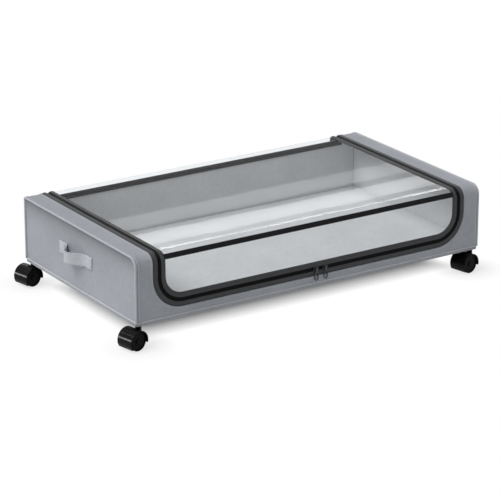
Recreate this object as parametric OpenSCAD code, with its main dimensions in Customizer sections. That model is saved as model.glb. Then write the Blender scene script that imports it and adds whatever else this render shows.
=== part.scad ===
// Under bed storage box: a stiffened fabric box on swivel casters, with a clear zipped lid and front flap
// The origin is on the floor under the middle of the box: +X to the right, +Y to the back, +Z up

/* [Box] */
// Length of the fabric box, from end to end
box_l = 850; // [700:1:1000]
// Depth of the fabric box, from front to back
box_d = 460; // [360:1:600]
// Height of the fabric box
box_h = 144; // [130:1:200]
// Radius of the shoulder along the top front edge
shoulder_r = 21; // [16:0.5:30]
// Radius of the top rear edge
rear_r = 5; // [4.5:0.5:8]
// Thickness of the lined fabric panels
panel_t = 2; // [1.6:0.1:2.6]
// Thickness of the stiffener boards in the walls
board_t = 2.5; // [1.5:0.1:4]
// Radius of the piping round each end panel
pipe_r = 2; // [1.6:0.1:2.4]

/* [Base] */
// Height of the piped seam round the base, above the underside
base_seam = 7.5; // [6:0.5:10]
// Radius of the piping round the base
base_pipe_r = 1.6; // [1.2:0.1:2.2]
// Rounding of the base corners, seen from above
base_corner_r = 5; // [4:0.5:10]
// Thickness of the fabric under the base
skin_t = 1.5; // [1:0.1:2.5]
// Outer diameter of the base frame tubes
rail_d = 12; // [10:0.5:14]
// Wall of the base frame tubes
rail_wall = 1; // [0.8:0.1:1.5]
// Outer diameter of the corner sockets
socket_d = 16; // [14:0.5:16.5]
// Length of each socket spigot inside its tube
spigot_l = 24; // [15:1:40]
// Thickness of the lined base board
base_t = 4; // [3:0.5:8]

/* [Zip] */
// Distance from the box end to the zip centreline
chain_inset = 55.5; // [45:0.5:80]
// Height of the zip centreline above the underside, along the front
sill_h = 39; // [34:0.5:50]
// Radius of the zip centreline at the lower front corners
corner_r = 55; // [40:1:65]
// Width of each half of the zip, from its centreline
tape_w = 15; // [12:0.5:18]
// Thickness of the zip tape
tape_t = 1; // [0.8:0.1:1.4]
// Free width between the two halves of the zip
chain_gap = 1.8; // [1.6:0.1:2.4]
// Width of the coil along each half of the zip
coil_w = 2.4; // [2:0.1:3]
// Thickness of the coil
coil_t = 2; // [1.5:0.1:2.2]

/* [Clear cover] */
// Thickness of the clear film
film_t = 0.6; // [0.4:0.1:1]
// Angle of the fold between lid and flap, from the top of the shoulder
fold_angle = 44; // [30:1:55]
// Angle of the lower edge of the front binding, from the top of the shoulder
bind_angle = 72; // [65:1:85]
// Thickness of the bindings
bind_t = 2; // [1.5:0.1:3]
// Distance from the top of the box down to the rear seam of the lid
rear_drop = 11; // [10:0.5:20]
// Height of the rear binding
rear_bind_h = 11.5; // [8:0.5:16]
// Thickness of the rear binding where it folds over the back board to the inside
rear_bind_t = 1.6; // [1:0.1:2.4]

/* [Sliders] */
// Where the two sliders meet along the front
slider_x = 15.5; // [-60:0.5:60]
// Distance between the slider centres
slider_pitch = 23; // [14:0.5:30]
// Length of a slider
slider_l = 12; // [10:0.5:13]
// Width of a slider at its shoulders
slider_w = 9; // [8:0.5:11]
// Thickness of the slider plates
slider_t = 1.6; // [1.2:0.1:2]
// Diameter of the bail bar that carries the pull
bail_d = 1.8; // [1.4:0.1:2.2]
// Length of a pull, from the bail bar to its tip
pull_l = 25; // [20:0.5:40]
// Width of a pull
pull_w = 9.6; // [8:0.2:12]
// Thickness of a pull
pull_t = 1.6; // [1.2:0.1:2]

/* [Handles] */
// Length of a strap handle along the box end
strap_l = 134; // [110:1:180]
// Width of the webbing
strap_w = 26; // [20:1:40]
// Thickness of the webbing
strap_t = 1.6; // [1:0.1:2.5]
// Length of each sewn end
strap_tab = 24; // [18:1:30]
// How far the middle of the strap stands off the box
strap_bow = 28; // [15:0.5:40]
// Height of the strap's middle above the underside
strap_h = 79; // [60:1:100]
// How far the strap's middle lies behind the middle of the box end
strap_back = 12; // [0:1:40]

/* [Casters] */
// Diameter of a caster wheel
wheel_d = 40; // [36:1:50]
// Width over both wheels of a caster, hood included
caster_w = 41; // [36:1:60]
// Free width between a corner socket and the end wall
socket_gap = 0.5; // [0.3:0.1:4]
// Distance from the swivel axis to the wheel axis
trail = 15; // [14:0.5:18]
// How far the casters at rest are turned away from the length of the box
caster_turn = 12; // [0:1:45]
// Free width between wheel and hood
hood_gap = 1; // [0.6:0.1:2]
// Wall of the hood
hood_wall = 2.5; // [1.2:0.1:3]
// Rounding of the hood's side edges
hood_edge = 1; // [0.4:0.1:1.1]
// Radius of the bead along the hood's lip on the stem side
lip_r = 2.2; // [1.6:0.1:2.6]
// Thickness of the web between the wheels
web_t = 10; // [9.5:0.5:12]
// Free height between hood and box
ride_gap = 4.5; // [3:0.1:8]
// Diameter of the wheel axle
axle_d = 6; // [5:0.5:8]
// Diameter of the swivel pin
pin_d = 6; // [5:0.1:6.4]
// Diameter of the stem held in the corner socket
stem_d = 8; // [6:0.5:10]
// Diameter of the stem collar
collar_d = 13; // [11:0.5:20]
// Thickness of the stem collar
collar_t = 2.2; // [1.5:0.1:2.4]

/* [Hidden] */
$fn = 96;

// Colours
fabric_grey = [0.62, 0.65, 0.69];
lining_grey = [0.72, 0.73, 0.75];
piping_grey = [0.74, 0.77, 0.80];
webbing_grey = [0.68, 0.71, 0.75];
zip_black = [0.14, 0.14, 0.15];
coil_black = [0.06, 0.06, 0.06];
film_clear = [0.9, 0.93, 0.95, 0.3];
caster_black = [0.05, 0.05, 0.05];
wheel_black = [0.12, 0.12, 0.12];
steel = [0.7, 0.7, 0.72];
gunmetal = [0.3, 0.3, 0.32];

// Clearances: sewn seams, moving edges, running fits
seam_gap = 0.1;
move_gap = 0.4;
run_gap = 0.05;
bail_gap = 0.1;
axle_gap = 0.02;

// Levels and faces of the box
half_l = box_l / 2;
half_d = box_d / 2;
wheel_r = wheel_d / 2;
hood_in_r = wheel_r + hood_gap;
hood_r = hood_in_r + hood_wall;
ride_h = wheel_r + hood_r + ride_gap;
top_z = ride_h + box_h;
shoulder_y = -half_d + shoulder_r;
shoulder_z = top_z - shoulder_r;
pipe_zone = 2 * pipe_r;
end_in = half_l - pipe_zone;
end_out = end_in + panel_t;
panel_foot = ride_h + base_seam + base_pipe_r + seam_gap;
cover_top = ride_h + base_seam - base_pipe_r - seam_gap;
cover_inset = base_pipe_r / 2;
rail_z = ride_h + skin_t + rail_d / 2;
rail_top = ride_h + skin_t + rail_d;
base_top = rail_top + base_t;
board_x = end_in - board_t - seam_gap;
board_y = half_d - panel_t - board_t - seam_gap;

// Depths of the layers under the outer surface
tape_out = 0.4;
tape_in = tape_out + tape_t;
coil_in = tape_in + coil_t;
film_out = tape_out + (tape_t - film_t) / 2;
film_in = film_out + film_t;
bind_proud = 0.4;
rear_bind_proud = 0.8;

// The zip line
chain_x = half_l - chain_inset;
chain_z = ride_h + sill_h;
half_gap = chain_gap / 2;
tape_x_out = chain_x + tape_w;
tape_x_in = chain_x - tape_w;
rear_seam_z = top_z - rear_drop;
rear_bind_top = rear_seam_z - seam_gap;
rear_bind_foot = rear_bind_top - rear_bind_h;
rear_bind_roof = rear_bind_top - rear_bind_t;
fold_gap = 180 / PI * move_gap / shoulder_r;
// Angle by which a shoulder strip runs into its own flat stretch
joined = 3;

// Sliders and pulls
plate_in_y = -half_d + tape_out - move_gap;
plate_out_y = plate_in_y - slider_t;
eye_wall = 1;
eye_r = bail_d / 2 + bail_gap + eye_wall;
bail_y = plate_out_y - eye_r - move_gap;
bail_inset = 1.5;
bail_half = slider_l / 2 - bail_inset;
bail_post = 1.5;
eye_half = bail_half - bail_post - 2 * move_gap;

// Casters
swivel_inset = pipe_zone + socket_gap + socket_d / 2;
swivel_x = half_l - swivel_inset;
swivel_y = half_d - swivel_inset;
collar_foot = ride_h - collar_t;
boss_top = collar_foot - move_gap;
boss_rise = 9;
boss_foot = wheel_r + boss_rise;
pin_rise = 3;
pin_foot = wheel_r + pin_rise;
hood_side = caster_w / 2;
face_inset = 2.5;
wheel_in = web_t / 2 + move_gap;
wheel_out = hood_side - face_inset;
wheel_w = wheel_out - wheel_in;
wheel_edge = 2;
axle_cover = 2.6;
axle_half = wheel_out - axle_cover;
lip_stem_side = -10;
lip_far_side = 215;
lip_sink = 0.4;

// Outline of the box seen from its right end, drawn inwards by depth
module end_outline(depth) {
  r_rear = max(rear_r - depth, 0.1);
  y_front = -half_d + depth;
  y_rear = half_d - depth;
  z_top = top_z - depth;
  translate([y_front, ride_h]) square([y_rear - y_front, shoulder_z - ride_h]);
  translate([shoulder_y, ride_h]) square([y_rear - r_rear - shoulder_y, z_top - ride_h]);
  translate([shoulder_y, ride_h]) square([y_rear - shoulder_y, z_top - r_rear - ride_h]);
  translate([shoulder_y, shoulder_z]) circle(shoulder_r - depth);
  translate([y_rear - r_rear, z_top - r_rear]) circle(r_rear);
}

// Layer of the box outline between two depths
module layer(outer, inner) {
  difference() {
    end_outline(outer);
    end_outline(inner);
  }
}

// Part of the outline from the rear seam height over the top to the start of the shoulder
module over_top(foot) {
  translate([shoulder_y, foot]) square([half_d + bind_t - shoulder_y, top_z + bind_t - foot]);
}

// Sector of the shoulder between two angles from its top
module shoulder_sector(from, to) {
  reach = 3 * shoulder_r;
  middle = (from + to) / 2;
  translate([shoulder_y, shoulder_z])
    polygon([[0, 0], for (a = [from, middle, to]) [-reach * sin(a), reach * cos(a)]]);
}

// Extrudes an end outline along the length
module along_x(from, to) {
  translate([from, 0, 0]) rotate([90, 0, 90]) linear_extrude(to - from) children();
}

// Extrudes a front outline through the front face, between two depths
module through_front(outer, inner) {
  translate([0, -half_d + inner, 0]) rotate([90, 0, 0]) linear_extrude(inner - outer) children();
}

// Extrudes a rear outline through the back face, between two depths
module through_back(outer, inner) {
  translate([0, half_d - outer, 0]) rotate([90, 0, 0]) linear_extrude(inner - outer) children();
}

// Places a right-hand piece, or its mirror image on the left
module on_side(side) {
  mirror([side < 0 ? 1 : 0, 0, 0]) children();
}

// Front area inside the zip line, grown outwards by offset_out, up to the shoulder
module zip_area(offset_out) {
  half_w = chain_x + offset_out;
  foot = chain_z - offset_out;
  r = corner_r + offset_out;
  intersection() {
    union() {
      translate([-half_w, foot + r]) square([2 * half_w, box_h]);
      translate([-half_w + r, foot]) square([2 * (half_w - r), box_h]);
      for (s = [-1, 1]) translate([s * (half_w - r), foot + r]) circle(r);
    }
    translate([-half_w, foot]) square([2 * half_w, shoulder_z - foot]);
  }
}

// Band along the front run of the zip, between two distances outside its centreline
module zip_band(from, to) {
  difference() {
    zip_area(to);
    zip_area(from);
  }
}

// Rectangle with rounded corners, centred
module round_rect(length, width, r) {
  square([length - 2 * r, width], center = true);
  square([length, width - 2 * r], center = true);
  for (sx = [-1, 1], sy = [-1, 1]) translate([sx * (length / 2 - r), sy * (width / 2 - r)]) circle(r);
}

// Shallow fabric tray that closes the underside, with an eyelet for each caster stem
module bottom_cover() {
  wall_in = cover_inset + skin_t;
  color(fabric_grey) difference() {
    translate([0, 0, ride_h]) linear_extrude(cover_top - ride_h)
      round_rect(box_l - 2 * cover_inset, box_d - 2 * cover_inset, base_corner_r);
    translate([0, 0, ride_h + skin_t]) linear_extrude(base_seam)
      round_rect(box_l - 2 * wall_in, box_d - 2 * wall_in, base_corner_r - skin_t);
    each_corner() translate([0, 0, ride_h - 1]) cylinder(d = stem_d + 2 * move_gap, h = skin_t + 2);
  }
}

// Closed loop of piping round the base seam
module base_piping() {
  run_x = half_l - base_corner_r;
  run_y = half_d - base_corner_r;
  turn_r = base_corner_r - base_pipe_r;
  color(piping_grey) translate([0, 0, ride_h + base_seam]) {
    for (s = [-1, 1]) {
      translate([0, s * (half_d - base_pipe_r), 0]) rotate([0, 90, 0])
        cylinder(r = base_pipe_r, h = 2 * run_x, center = true);
      translate([s * (half_l - base_pipe_r), 0, 0]) rotate([90, 0, 0])
        cylinder(r = base_pipe_r, h = 2 * run_y, center = true);
    }
    for (i = [0:3])
      translate([(i == 0 || i == 3 ? 1 : -1) * run_x, (i < 2 ? 1 : -1) * run_y, 0])
        rotate([0, 0, 90 * i]) rotate_extrude(angle = 90) translate([turn_r, 0]) circle(base_pipe_r);
  }
}

// Repeats a piece at the four swivel axes
module each_corner() {
  for (sx = [-1, 1], sy = [-1, 1]) translate([sx * swivel_x, sy * swivel_y, 0]) children();
}

// Steel tube of the base frame, lying along X
module rail(length) {
  color(steel) rotate([0, 90, 0]) difference() {
    cylinder(d = rail_d, h = length, center = true);
    cylinder(d = rail_d - 2 * rail_wall, h = length + 2, center = true);
  }
}

// Tube under the front or the rear wall
module long_rail(side) {
  translate([0, side * swivel_y, rail_z]) rail(2 * swivel_x - socket_d - 2 * seam_gap);
}

// Tube under one end wall
module cross_rail(side) {
  translate([side * swivel_x, 0, rail_z]) rotate([0, 0, 90]) rail(2 * swivel_y - socket_d - 2 * seam_gap);
}

// Corner fittings: each joins two tubes with spigots and holds a caster stem in its bore
module corner_sockets() {
  spigot_d = rail_d - 2 * rail_wall - 2 * run_gap;
  reach = socket_d / 2 + spigot_l;
  color(caster_black) for (sx = [-1, 1], sy = [-1, 1])
    translate([sx * swivel_x, sy * swivel_y, 0]) difference() {
      union() {
        translate([0, 0, ride_h + skin_t]) cylinder(d = socket_d, h = rail_d);
        translate([0, 0, rail_z]) rotate([0, -90 * sx, 0]) cylinder(d = spigot_d, h = reach);
        translate([0, 0, rail_z]) rotate([90 * sy, 0, 0]) cylinder(d = spigot_d, h = reach);
      }
      translate([0, 0, ride_h]) cylinder(d = stem_d + 2 * run_gap, h = rail_d + skin_t + 1);
    }
}

// Caster stems: swivel pin below, collar under the fabric, plain stem in the socket above
module caster_stems() {
  color(steel) each_corner() {
    translate([0, 0, pin_foot]) cylinder(d = pin_d, h = collar_foot - pin_foot);
    translate([0, 0, collar_foot]) cylinder(d = collar_d, h = collar_t);
    translate([0, 0, ride_h]) cylinder(d = stem_d, h = skin_t + rail_d - 1);
  }
}

// Lined board that lies on the base frame, inside the wall stiffeners
module base_board() {
  color(lining_grey) translate([0, 0, rail_top]) linear_extrude(base_t)
    round_rect(2 * board_x, 2 * board_y, base_corner_r);
}

// Fabric of one end of the box, set back from the piping round it
module end_panel(side) {
  color(fabric_grey) on_side(side) along_x(end_in, end_out) intersection() {
    end_outline(pipe_zone + seam_gap);
    translate([-half_d, panel_foot]) square([box_d, box_h]);
  }
}

// Stiffener of one end, standing on the corner sockets
module end_board(side) {
  color(lining_grey) on_side(side) along_x(end_in - board_t, end_in) intersection() {
    end_outline(pipe_zone + seam_gap);
    translate([-half_d, rail_top]) square([box_d, box_h]);
  }
}

// Piping round one end: up the front edge, over the top and down the rear edge
module end_piping(side) {
  front_y = -half_d + pipe_r;
  rear_y = half_d - pipe_r;
  rear_turn = [half_d - rear_r, top_z - rear_r];
  color(piping_grey) on_side(side) translate([half_l - pipe_r, 0, 0]) {
    translate([0, front_y, panel_foot]) cylinder(r = pipe_r, h = shoulder_z - panel_foot);
    translate([0, rear_y, panel_foot]) cylinder(r = pipe_r, h = rear_turn[1] - panel_foot);
    translate([0, shoulder_y, top_z - pipe_r]) rotate([-90, 0, 0])
      cylinder(r = pipe_r, h = rear_turn[0] - shoulder_y);
    translate([0, shoulder_y, shoulder_z]) rotate([90, 0, 90]) rotate([0, 0, 90])
      rotate_extrude(angle = 90) translate([shoulder_r - pipe_r, 0]) circle(pipe_r);
    translate([0, rear_turn[0], rear_turn[1]]) rotate([90, 0, 90])
      rotate_extrude(angle = 90) translate([rear_r - pipe_r, 0]) circle(pipe_r);
  }
}

// Rear wall, cut down in the middle for the rear seam of the lid
module back_panel() {
  ear_top = top_z - rear_r;
  notch_x = tape_x_out + seam_gap;
  color(fabric_grey) through_back(0, panel_t) difference() {
    translate([-end_in, panel_foot]) square([2 * end_in, ear_top - panel_foot]);
    translate([-notch_x, rear_bind_foot - seam_gap]) square([2 * notch_x, box_h]);
  }
}

// Front wall, cut out in a wide U for the zip and the flap
module front_panel() {
  notch_x = tape_x_out + seam_gap;
  color(fabric_grey) through_front(0, panel_t) difference() {
    translate([-end_in, panel_foot]) square([2 * end_in, shoulder_z - panel_foot]);
    zip_area(tape_w + seam_gap);
    translate([-notch_x, shoulder_z - 1]) square([2 * notch_x, 2]);
  }
}

// Fabric strip along one side of the top, from the back wall over the shoulder to the front wall
module border(side) {
  color(fabric_grey) on_side(side) along_x(tape_x_out + seam_gap, end_in) intersection() {
    layer(0, panel_t);
    union() {
      over_top(top_z - rear_r);
      shoulder_sector(0, 90);
    }
  }
}

// Stiffener under one side strip
module border_board(side) {
  color(lining_grey) on_side(side)
    translate([tape_x_out + seam_gap, shoulder_y, top_z - panel_t - board_t])
      cube([board_x - tape_x_out - seam_gap, half_d - rear_r - shoulder_y, board_t]);
}

// Stiffener of the rear wall, which also backs the rear binding
module back_board() {
  color(lining_grey) through_back(panel_t, panel_t + board_t)
    translate([-board_x, rail_top]) square([2 * board_x, rear_bind_roof - seam_gap - rail_top]);
}

// Stiffener of the front sill, below the zip coil
module front_board() {
  sill_top = chain_z - half_gap - coil_w - seam_gap;
  color(lining_grey) through_front(panel_t, panel_t + board_t)
    translate([-board_x, rail_top]) square([2 * board_x, sill_top - rail_top]);
}

// Webbing handle sewn flat at both ends and bowed out between them
module handle(side) {
  steps = 24;
  free_l = strap_l - 2 * strap_tab;
  bow = [for (i = [0:steps]) [strap_bow * (1 - cos(360 * i / steps)) / 2, free_l * (i / steps - 0.5)]];
  inner = concat([[0, -strap_l / 2]], bow, [[0, strap_l / 2]]);
  outer = [for (i = [len(inner) - 1:-1:0]) [inner[i][0] + strap_t, inner[i][1]]];
  color(webbing_grey) on_side(side)
    translate([end_out, strap_back, ride_h + strap_h - strap_w / 2])
      linear_extrude(strap_w) polygon(concat(inner, outer));
}

// Strip that follows the lid line on one side: rear tail, top and shoulder down to an angle
module lid_line(from, to, outer, inner, angle) {
  along_x(from, to) intersection() {
    layer(outer, inner);
    union() {
      over_top(rear_seam_z + move_gap);
      shoulder_sector(0, angle);
    }
  }
}

// Strip that follows the flap line over the lower shoulder
module flap_line(from, to, outer, inner, angle) {
  along_x(from, to) intersection() {
    layer(outer, inner);
    shoulder_sector(angle, 90 + joined);
  }
}

// Zip half sewn to one side strip of the box
module side_zip_tape(side) {
  color(zip_black) on_side(side) lid_line(chain_x + half_gap, tape_x_out, tape_out, tape_in, 90);
}

// Zip half sewn into the front wall
module front_zip_tape() {
  color(zip_black) through_front(tape_out, tape_in) zip_band(half_gap, tape_w);
}

// Coil along the whole box half of the zip
module box_zip_coil() {
  color(coil_black) {
    for (s = [-1, 1])
      on_side(s) lid_line(chain_x + half_gap, chain_x + half_gap + coil_w, tape_in, coil_in, 90 + joined);
    through_front(tape_in, coil_in) zip_band(half_gap, half_gap + coil_w);
  }
}

// Binding over the seam between the back wall and the clear lid, folded over the back board to the inside
module rear_binding() {
  y_out = half_d + rear_bind_proud;
  y_wall = half_d - panel_t + seam_gap;
  y_in = board_y - rear_bind_t;
  color(zip_black) along_x(-tape_x_out, tape_x_out) polygon([
    [y_out, rear_bind_foot], [y_out, rear_bind_top], [y_in, rear_bind_top], [y_in, rear_bind_foot],
    [board_y, rear_bind_foot], [board_y, rear_bind_roof], [y_wall, rear_bind_roof], [y_wall, rear_bind_foot]
  ]);
}

// Clear top: from the rear seam over the rear edge, across the top and over the shoulder to the fold
module lid_film() {
  edge = tape_x_in - seam_gap;
  color(film_clear) lid_line(-edge, edge, film_out, film_in, fold_angle - fold_gap / 2);
}

// Zip half along one side of the clear top
module lid_tape(side) {
  color(zip_black) on_side(side)
    lid_line(tape_x_in, chain_x - half_gap, tape_out, tape_in, fold_angle - fold_gap / 2);
}

// Coil along the lid half of the zip
module lid_zip_coil() {
  edge = chain_x - half_gap;
  color(coil_black) for (s = [-1, 1])
    on_side(s) lid_line(edge - coil_w, edge, tape_in, coil_in, fold_angle - fold_gap / 2);
}

// Clear front window, from the binding down inside the zip
module flap_film() {
  edge = tape_x_in - seam_gap;
  color(film_clear) {
    flap_line(-edge, edge, film_out, film_in, bind_angle + fold_gap / 2);
    through_front(film_out, film_in) zip_area(-tape_w - seam_gap);
  }
}

// Zip half along both sides and the foot of the flap
module flap_zip_tape() {
  color(zip_black) {
    for (s = [-1, 1])
      on_side(s) flap_line(tape_x_in, chain_x - half_gap, tape_out, tape_in, fold_angle + fold_gap / 2);
    through_front(tape_out, tape_in) zip_band(-tape_w, -half_gap);
  }
}

// Coil along the flap half of the zip
module flap_zip_coil() {
  edge = chain_x - half_gap;
  color(coil_black) {
    for (s = [-1, 1])
      on_side(s) flap_line(edge - coil_w, edge, tape_in, coil_in, fold_angle + fold_gap / 2);
    through_front(tape_in, coil_in) zip_band(-half_gap - coil_w, -half_gap);
  }
}

// Binding over the fold between the clear top and the clear front
module front_binding() {
  edge = tape_x_in - seam_gap;
  color(zip_black) along_x(-edge, edge) intersection() {
    layer(-bind_proud, bind_t - bind_proud);
    shoulder_sector(fold_angle + fold_gap / 2, bind_angle);
  }
}

// Slider: outer plate over both coils, post between them, inner plate behind the flap coil, bail in front
module slider(side) {
  nose = slider_l / 2;
  shoulder = slider_w / 2;
  tail = shoulder * 0.7;
  upper = [[nose, tail], [-nose / 3, shoulder], [-nose * 0.8, shoulder], [-nose, tail]];
  lower = [for (i = [len(upper) - 1:-1:0]) [upper[i][0], -upper[i][1]]];
  back_y = -half_d + coil_in + move_gap;
  post_l = slider_l / 3;
  post_t = chain_gap - 2 * move_gap;
  color(gunmetal) translate([slider_x + side * slider_pitch / 2, 0, chain_z]) on_side(side) {
    translate([0, plate_in_y, 0]) rotate([90, 0, 0]) linear_extrude(slider_t) polygon(concat(upper, lower));
    translate([-post_l / 2, plate_in_y - slider_t / 2, -post_t / 2])
      cube([post_l, back_y - plate_in_y + slider_t, post_t]);
    translate([-nose, back_y, -post_t / 2]) cube([slider_l, slider_t, shoulder + post_t / 2]);
    translate([-bail_half, bail_y, 0]) rotate([0, 90, 0]) cylinder(d = bail_d, h = 2 * bail_half);
    for (s = [-1, 1])
      translate([s * (bail_half - bail_post / 2) - bail_post / 2, bail_y, -bail_d / 2])
        cube([bail_post, plate_out_y - bail_y + slider_t / 2, bail_d]);
  }
}

// Pull: an eye on the bail bar, a short neck and an open ring to grip
module pull(side) {
  ring_r = pull_w / 2;
  ring_wall = 2;
  ring_top = -pull_l * 0.24;
  ring_foot = -pull_l;
  neck_w = 2 * eye_half;
  color(gunmetal) translate([slider_x + side * slider_pitch / 2, bail_y, chain_z]) difference() {
    union() {
      rotate([0, 90, 0]) cylinder(r = eye_r, h = neck_w, center = true);
      translate([0, pull_t / 2, 0]) rotate([90, 0, 0]) linear_extrude(pull_t) difference() {
        union() {
          translate([-neck_w / 2, ring_top - ring_r / 2]) square([neck_w, -ring_top + ring_r / 2]);
          ring_shape(ring_r, ring_top, ring_foot);
        }
        ring_shape(ring_r - ring_wall, ring_top - ring_wall, ring_foot + ring_wall);
      }
    }
    rotate([0, 90, 0]) cylinder(d = bail_d + 2 * bail_gap, h = neck_w + 2, center = true);
  }
}

// Upright shape with round ends
module ring_shape(r, top, foot) {
  translate([0, top - r]) circle(r);
  translate([0, foot + r]) circle(r);
  translate([-r, foot + r]) square([2 * r, top - foot - 2 * r]);
}

// Places a caster piece at its corner, turned as it stands; the rear right one has swung round
module at_corner(side, depth) {
  swung = side > 0 && depth > 0 ? 180 : 0;
  translate([side * swivel_x, depth * swivel_y, 0]) rotate([0, 0, caster_turn + swung]) children();
}

// Area below the lips of the hood, from its axle
module below_lips() {
  reach = 3 * hood_r;
  span = 360 + lip_stem_side - lip_far_side;
  polygon([[0, 0], for (i = [0:4]) let (a = lip_far_side + span * i / 4) [reach * cos(a), reach * sin(a)]]);
}

// Half section of the hood's drum, from its axle outwards, with rounded side edges
module drum_section() {
  run = hood_side - hood_edge;
  translate([0, -hood_side]) square([hood_r - hood_edge, caster_w]);
  translate([0, -run]) square([hood_r, 2 * run]);
  for (s = [-1, 1]) translate([hood_r - hood_edge, s * run]) circle(hood_edge);
}

// Hood: a shell over both wheels with a beaded lip, a web between them and a boss on the swivel pin
module hood() {
  hub_d = axle_d + 10;
  well_l = hood_side - web_t / 2 + 1;
  color(caster_black) difference() {
    union() {
      translate([-trail, 0, wheel_r]) rotate([90, 0, 0]) {
        difference() {
          rotate_extrude() drum_section();
          translate([0, 0, -caster_w]) linear_extrude(2 * caster_w) below_lips();
        }
        rotate([0, 0, lip_stem_side]) translate([hood_in_r + lip_r - lip_sink, 0, 0])
          cylinder(r = lip_r, h = caster_w - 4 * hood_edge, center = true);
      }
      translate([-trail, 0, wheel_r]) rotate([90, 0, 0]) cylinder(d = hub_d, h = web_t, center = true);
      translate([0, 0, boss_foot]) cylinder(d = collar_d, h = boss_top - boss_foot);
    }
    for (s = [-1, 1])
      translate([-trail, s * (web_t + well_l) / 2, wheel_r]) rotate([90, 0, 0])
        cylinder(r = hood_in_r, h = well_l, center = true);
    translate([0, 0, pin_foot - 1]) cylinder(d = pin_d + 2 * run_gap, h = ride_h);
    translate([-trail, 0, wheel_r]) rotate([90, 0, 0])
      cylinder(d = axle_d + 2 * axle_gap, h = caster_w, center = true);
  }
}

// Axle fixed in the web, with a wheel on each end
module axle() {
  color(steel) translate([-trail, 0, wheel_r]) rotate([90, 0, 0])
    cylinder(d = axle_d, h = 2 * axle_half, center = true);
}

// Wheel: a hollow moulding with a rounded tread, a dished outer face and a blind bore for the axle
module wheel(outward) {
  hub_r = axle_d / 2 + 3;
  rim_r = wheel_r - 3;
  dish = 1.6;
  face_t = 3;
  color(wheel_black) translate([-trail, outward * wheel_in, wheel_r]) rotate([-90 * outward, 0, 0])
    rotate_extrude() difference() {
      union() {
        square([wheel_r - wheel_edge, wheel_w]);
        translate([0, wheel_edge]) square([wheel_r, wheel_w - 2 * wheel_edge]);
        for (h = [wheel_edge, wheel_w - wheel_edge]) translate([wheel_r - wheel_edge, h]) circle(wheel_edge);
      }
      translate([-1, -1]) square([1 + axle_d / 2 + run_gap, axle_half - wheel_in + 1 + move_gap]);
      translate([hub_r, wheel_w - dish]) square([rim_r - hub_r, dish + 1]);
      translate([hub_r, -1]) square([rim_r - hub_r, wheel_w - dish - face_t + 1]);
      translate([-wheel_r, -1]) square([wheel_r, wheel_w + 2]);
    }
}

base_board();
bottom_cover();
base_piping();
long_rail(-1);  // front_rail
long_rail(1);  // rear_rail
cross_rail(-1);  // left_rail
cross_rail(1);  // right_rail
corner_sockets();
caster_stems();
end_panel(-1);  // left_end_panel
end_panel(1);  // right_end_panel
back_panel();
front_panel();
border(-1);  // left_border
border(1);  // right_border
end_piping(-1);  // left_piping
end_piping(1);  // right_piping
end_board(-1);  // left_end_board
end_board(1);  // right_end_board
back_board();
front_board();
border_board(-1);  // left_border_board
border_board(1);  // right_border_board
handle(-1);  // left_handle
handle(1);  // right_handle
side_zip_tape(-1);  // left_zip_tape
side_zip_tape(1);  // right_zip_tape
front_zip_tape();
box_zip_coil();
rear_binding();
lid_film();
lid_tape(-1);  // left_lid_tape
lid_tape(1);  // right_lid_tape
lid_zip_coil();
flap_film();
flap_zip_tape();
flap_zip_coil();
front_binding();
slider(-1);  // left_slider
slider(1);  // right_slider
pull(-1);  // left_pull
pull(1);  // right_pull
at_corner(-1, -1) hood();  // front_left_hood
at_corner(-1, -1) axle();  // front_left_axle
at_corner(-1, -1) wheel(-1);  // front_left_outer_wheel
at_corner(-1, -1) wheel(1);  // front_left_inner_wheel
at_corner(1, -1) hood();  // front_right_hood
at_corner(1, -1) axle();  // front_right_axle
at_corner(1, -1) wheel(-1);  // front_right_outer_wheel
at_corner(1, -1) wheel(1);  // front_right_inner_wheel
at_corner(-1, 1) hood();  // rear_left_hood
at_corner(-1, 1) axle();  // rear_left_axle
at_corner(-1, 1) wheel(1);  // rear_left_outer_wheel
at_corner(-1, 1) wheel(-1);  // rear_left_inner_wheel
at_corner(1, 1) hood();  // rear_right_hood
at_corner(1, 1) axle();  // rear_right_axle
at_corner(1, 1) wheel(-1);  // rear_right_outer_wheel
at_corner(1, 1) wheel(1);  // rear_right_inner_wheel
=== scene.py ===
import math

import bmesh
import bpy
from bpy.props import FloatProperty, FloatVectorProperty, PointerProperty
from mathutils import Matrix, Vector


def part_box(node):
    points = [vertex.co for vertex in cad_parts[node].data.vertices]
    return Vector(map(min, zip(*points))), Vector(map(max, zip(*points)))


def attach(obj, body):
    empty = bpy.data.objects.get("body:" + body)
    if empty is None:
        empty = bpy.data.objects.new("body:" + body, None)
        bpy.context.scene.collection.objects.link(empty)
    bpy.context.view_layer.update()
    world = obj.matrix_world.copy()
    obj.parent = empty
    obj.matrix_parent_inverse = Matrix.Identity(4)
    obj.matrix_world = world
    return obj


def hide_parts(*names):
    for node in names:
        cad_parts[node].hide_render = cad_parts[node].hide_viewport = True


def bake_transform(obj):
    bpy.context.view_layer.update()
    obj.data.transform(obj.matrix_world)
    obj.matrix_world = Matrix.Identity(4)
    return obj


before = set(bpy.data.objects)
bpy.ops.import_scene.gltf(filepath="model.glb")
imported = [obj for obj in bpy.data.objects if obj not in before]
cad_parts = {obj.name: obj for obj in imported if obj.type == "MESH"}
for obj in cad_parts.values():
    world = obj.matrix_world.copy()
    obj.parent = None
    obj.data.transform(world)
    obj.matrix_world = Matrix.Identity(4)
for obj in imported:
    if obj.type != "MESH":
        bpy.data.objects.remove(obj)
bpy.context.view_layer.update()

bl_info = {
    "name": "Under Bed Box",
    "version": (1, 0, 0),
    "blender": (4, 5, 0),
    "location": "3D View > Sidebar > Under Bed Box",
    "description": "Dresses a rolling under bed box: cover, piping, clear zipped lid, handles and casters",
    "category": "Object",
}

QUARTER = math.pi / 2
SIDES = {"left": -1, "right": 1}
CASTERS = ("front_left", "front_right", "rear_left", "rear_right")


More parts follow.
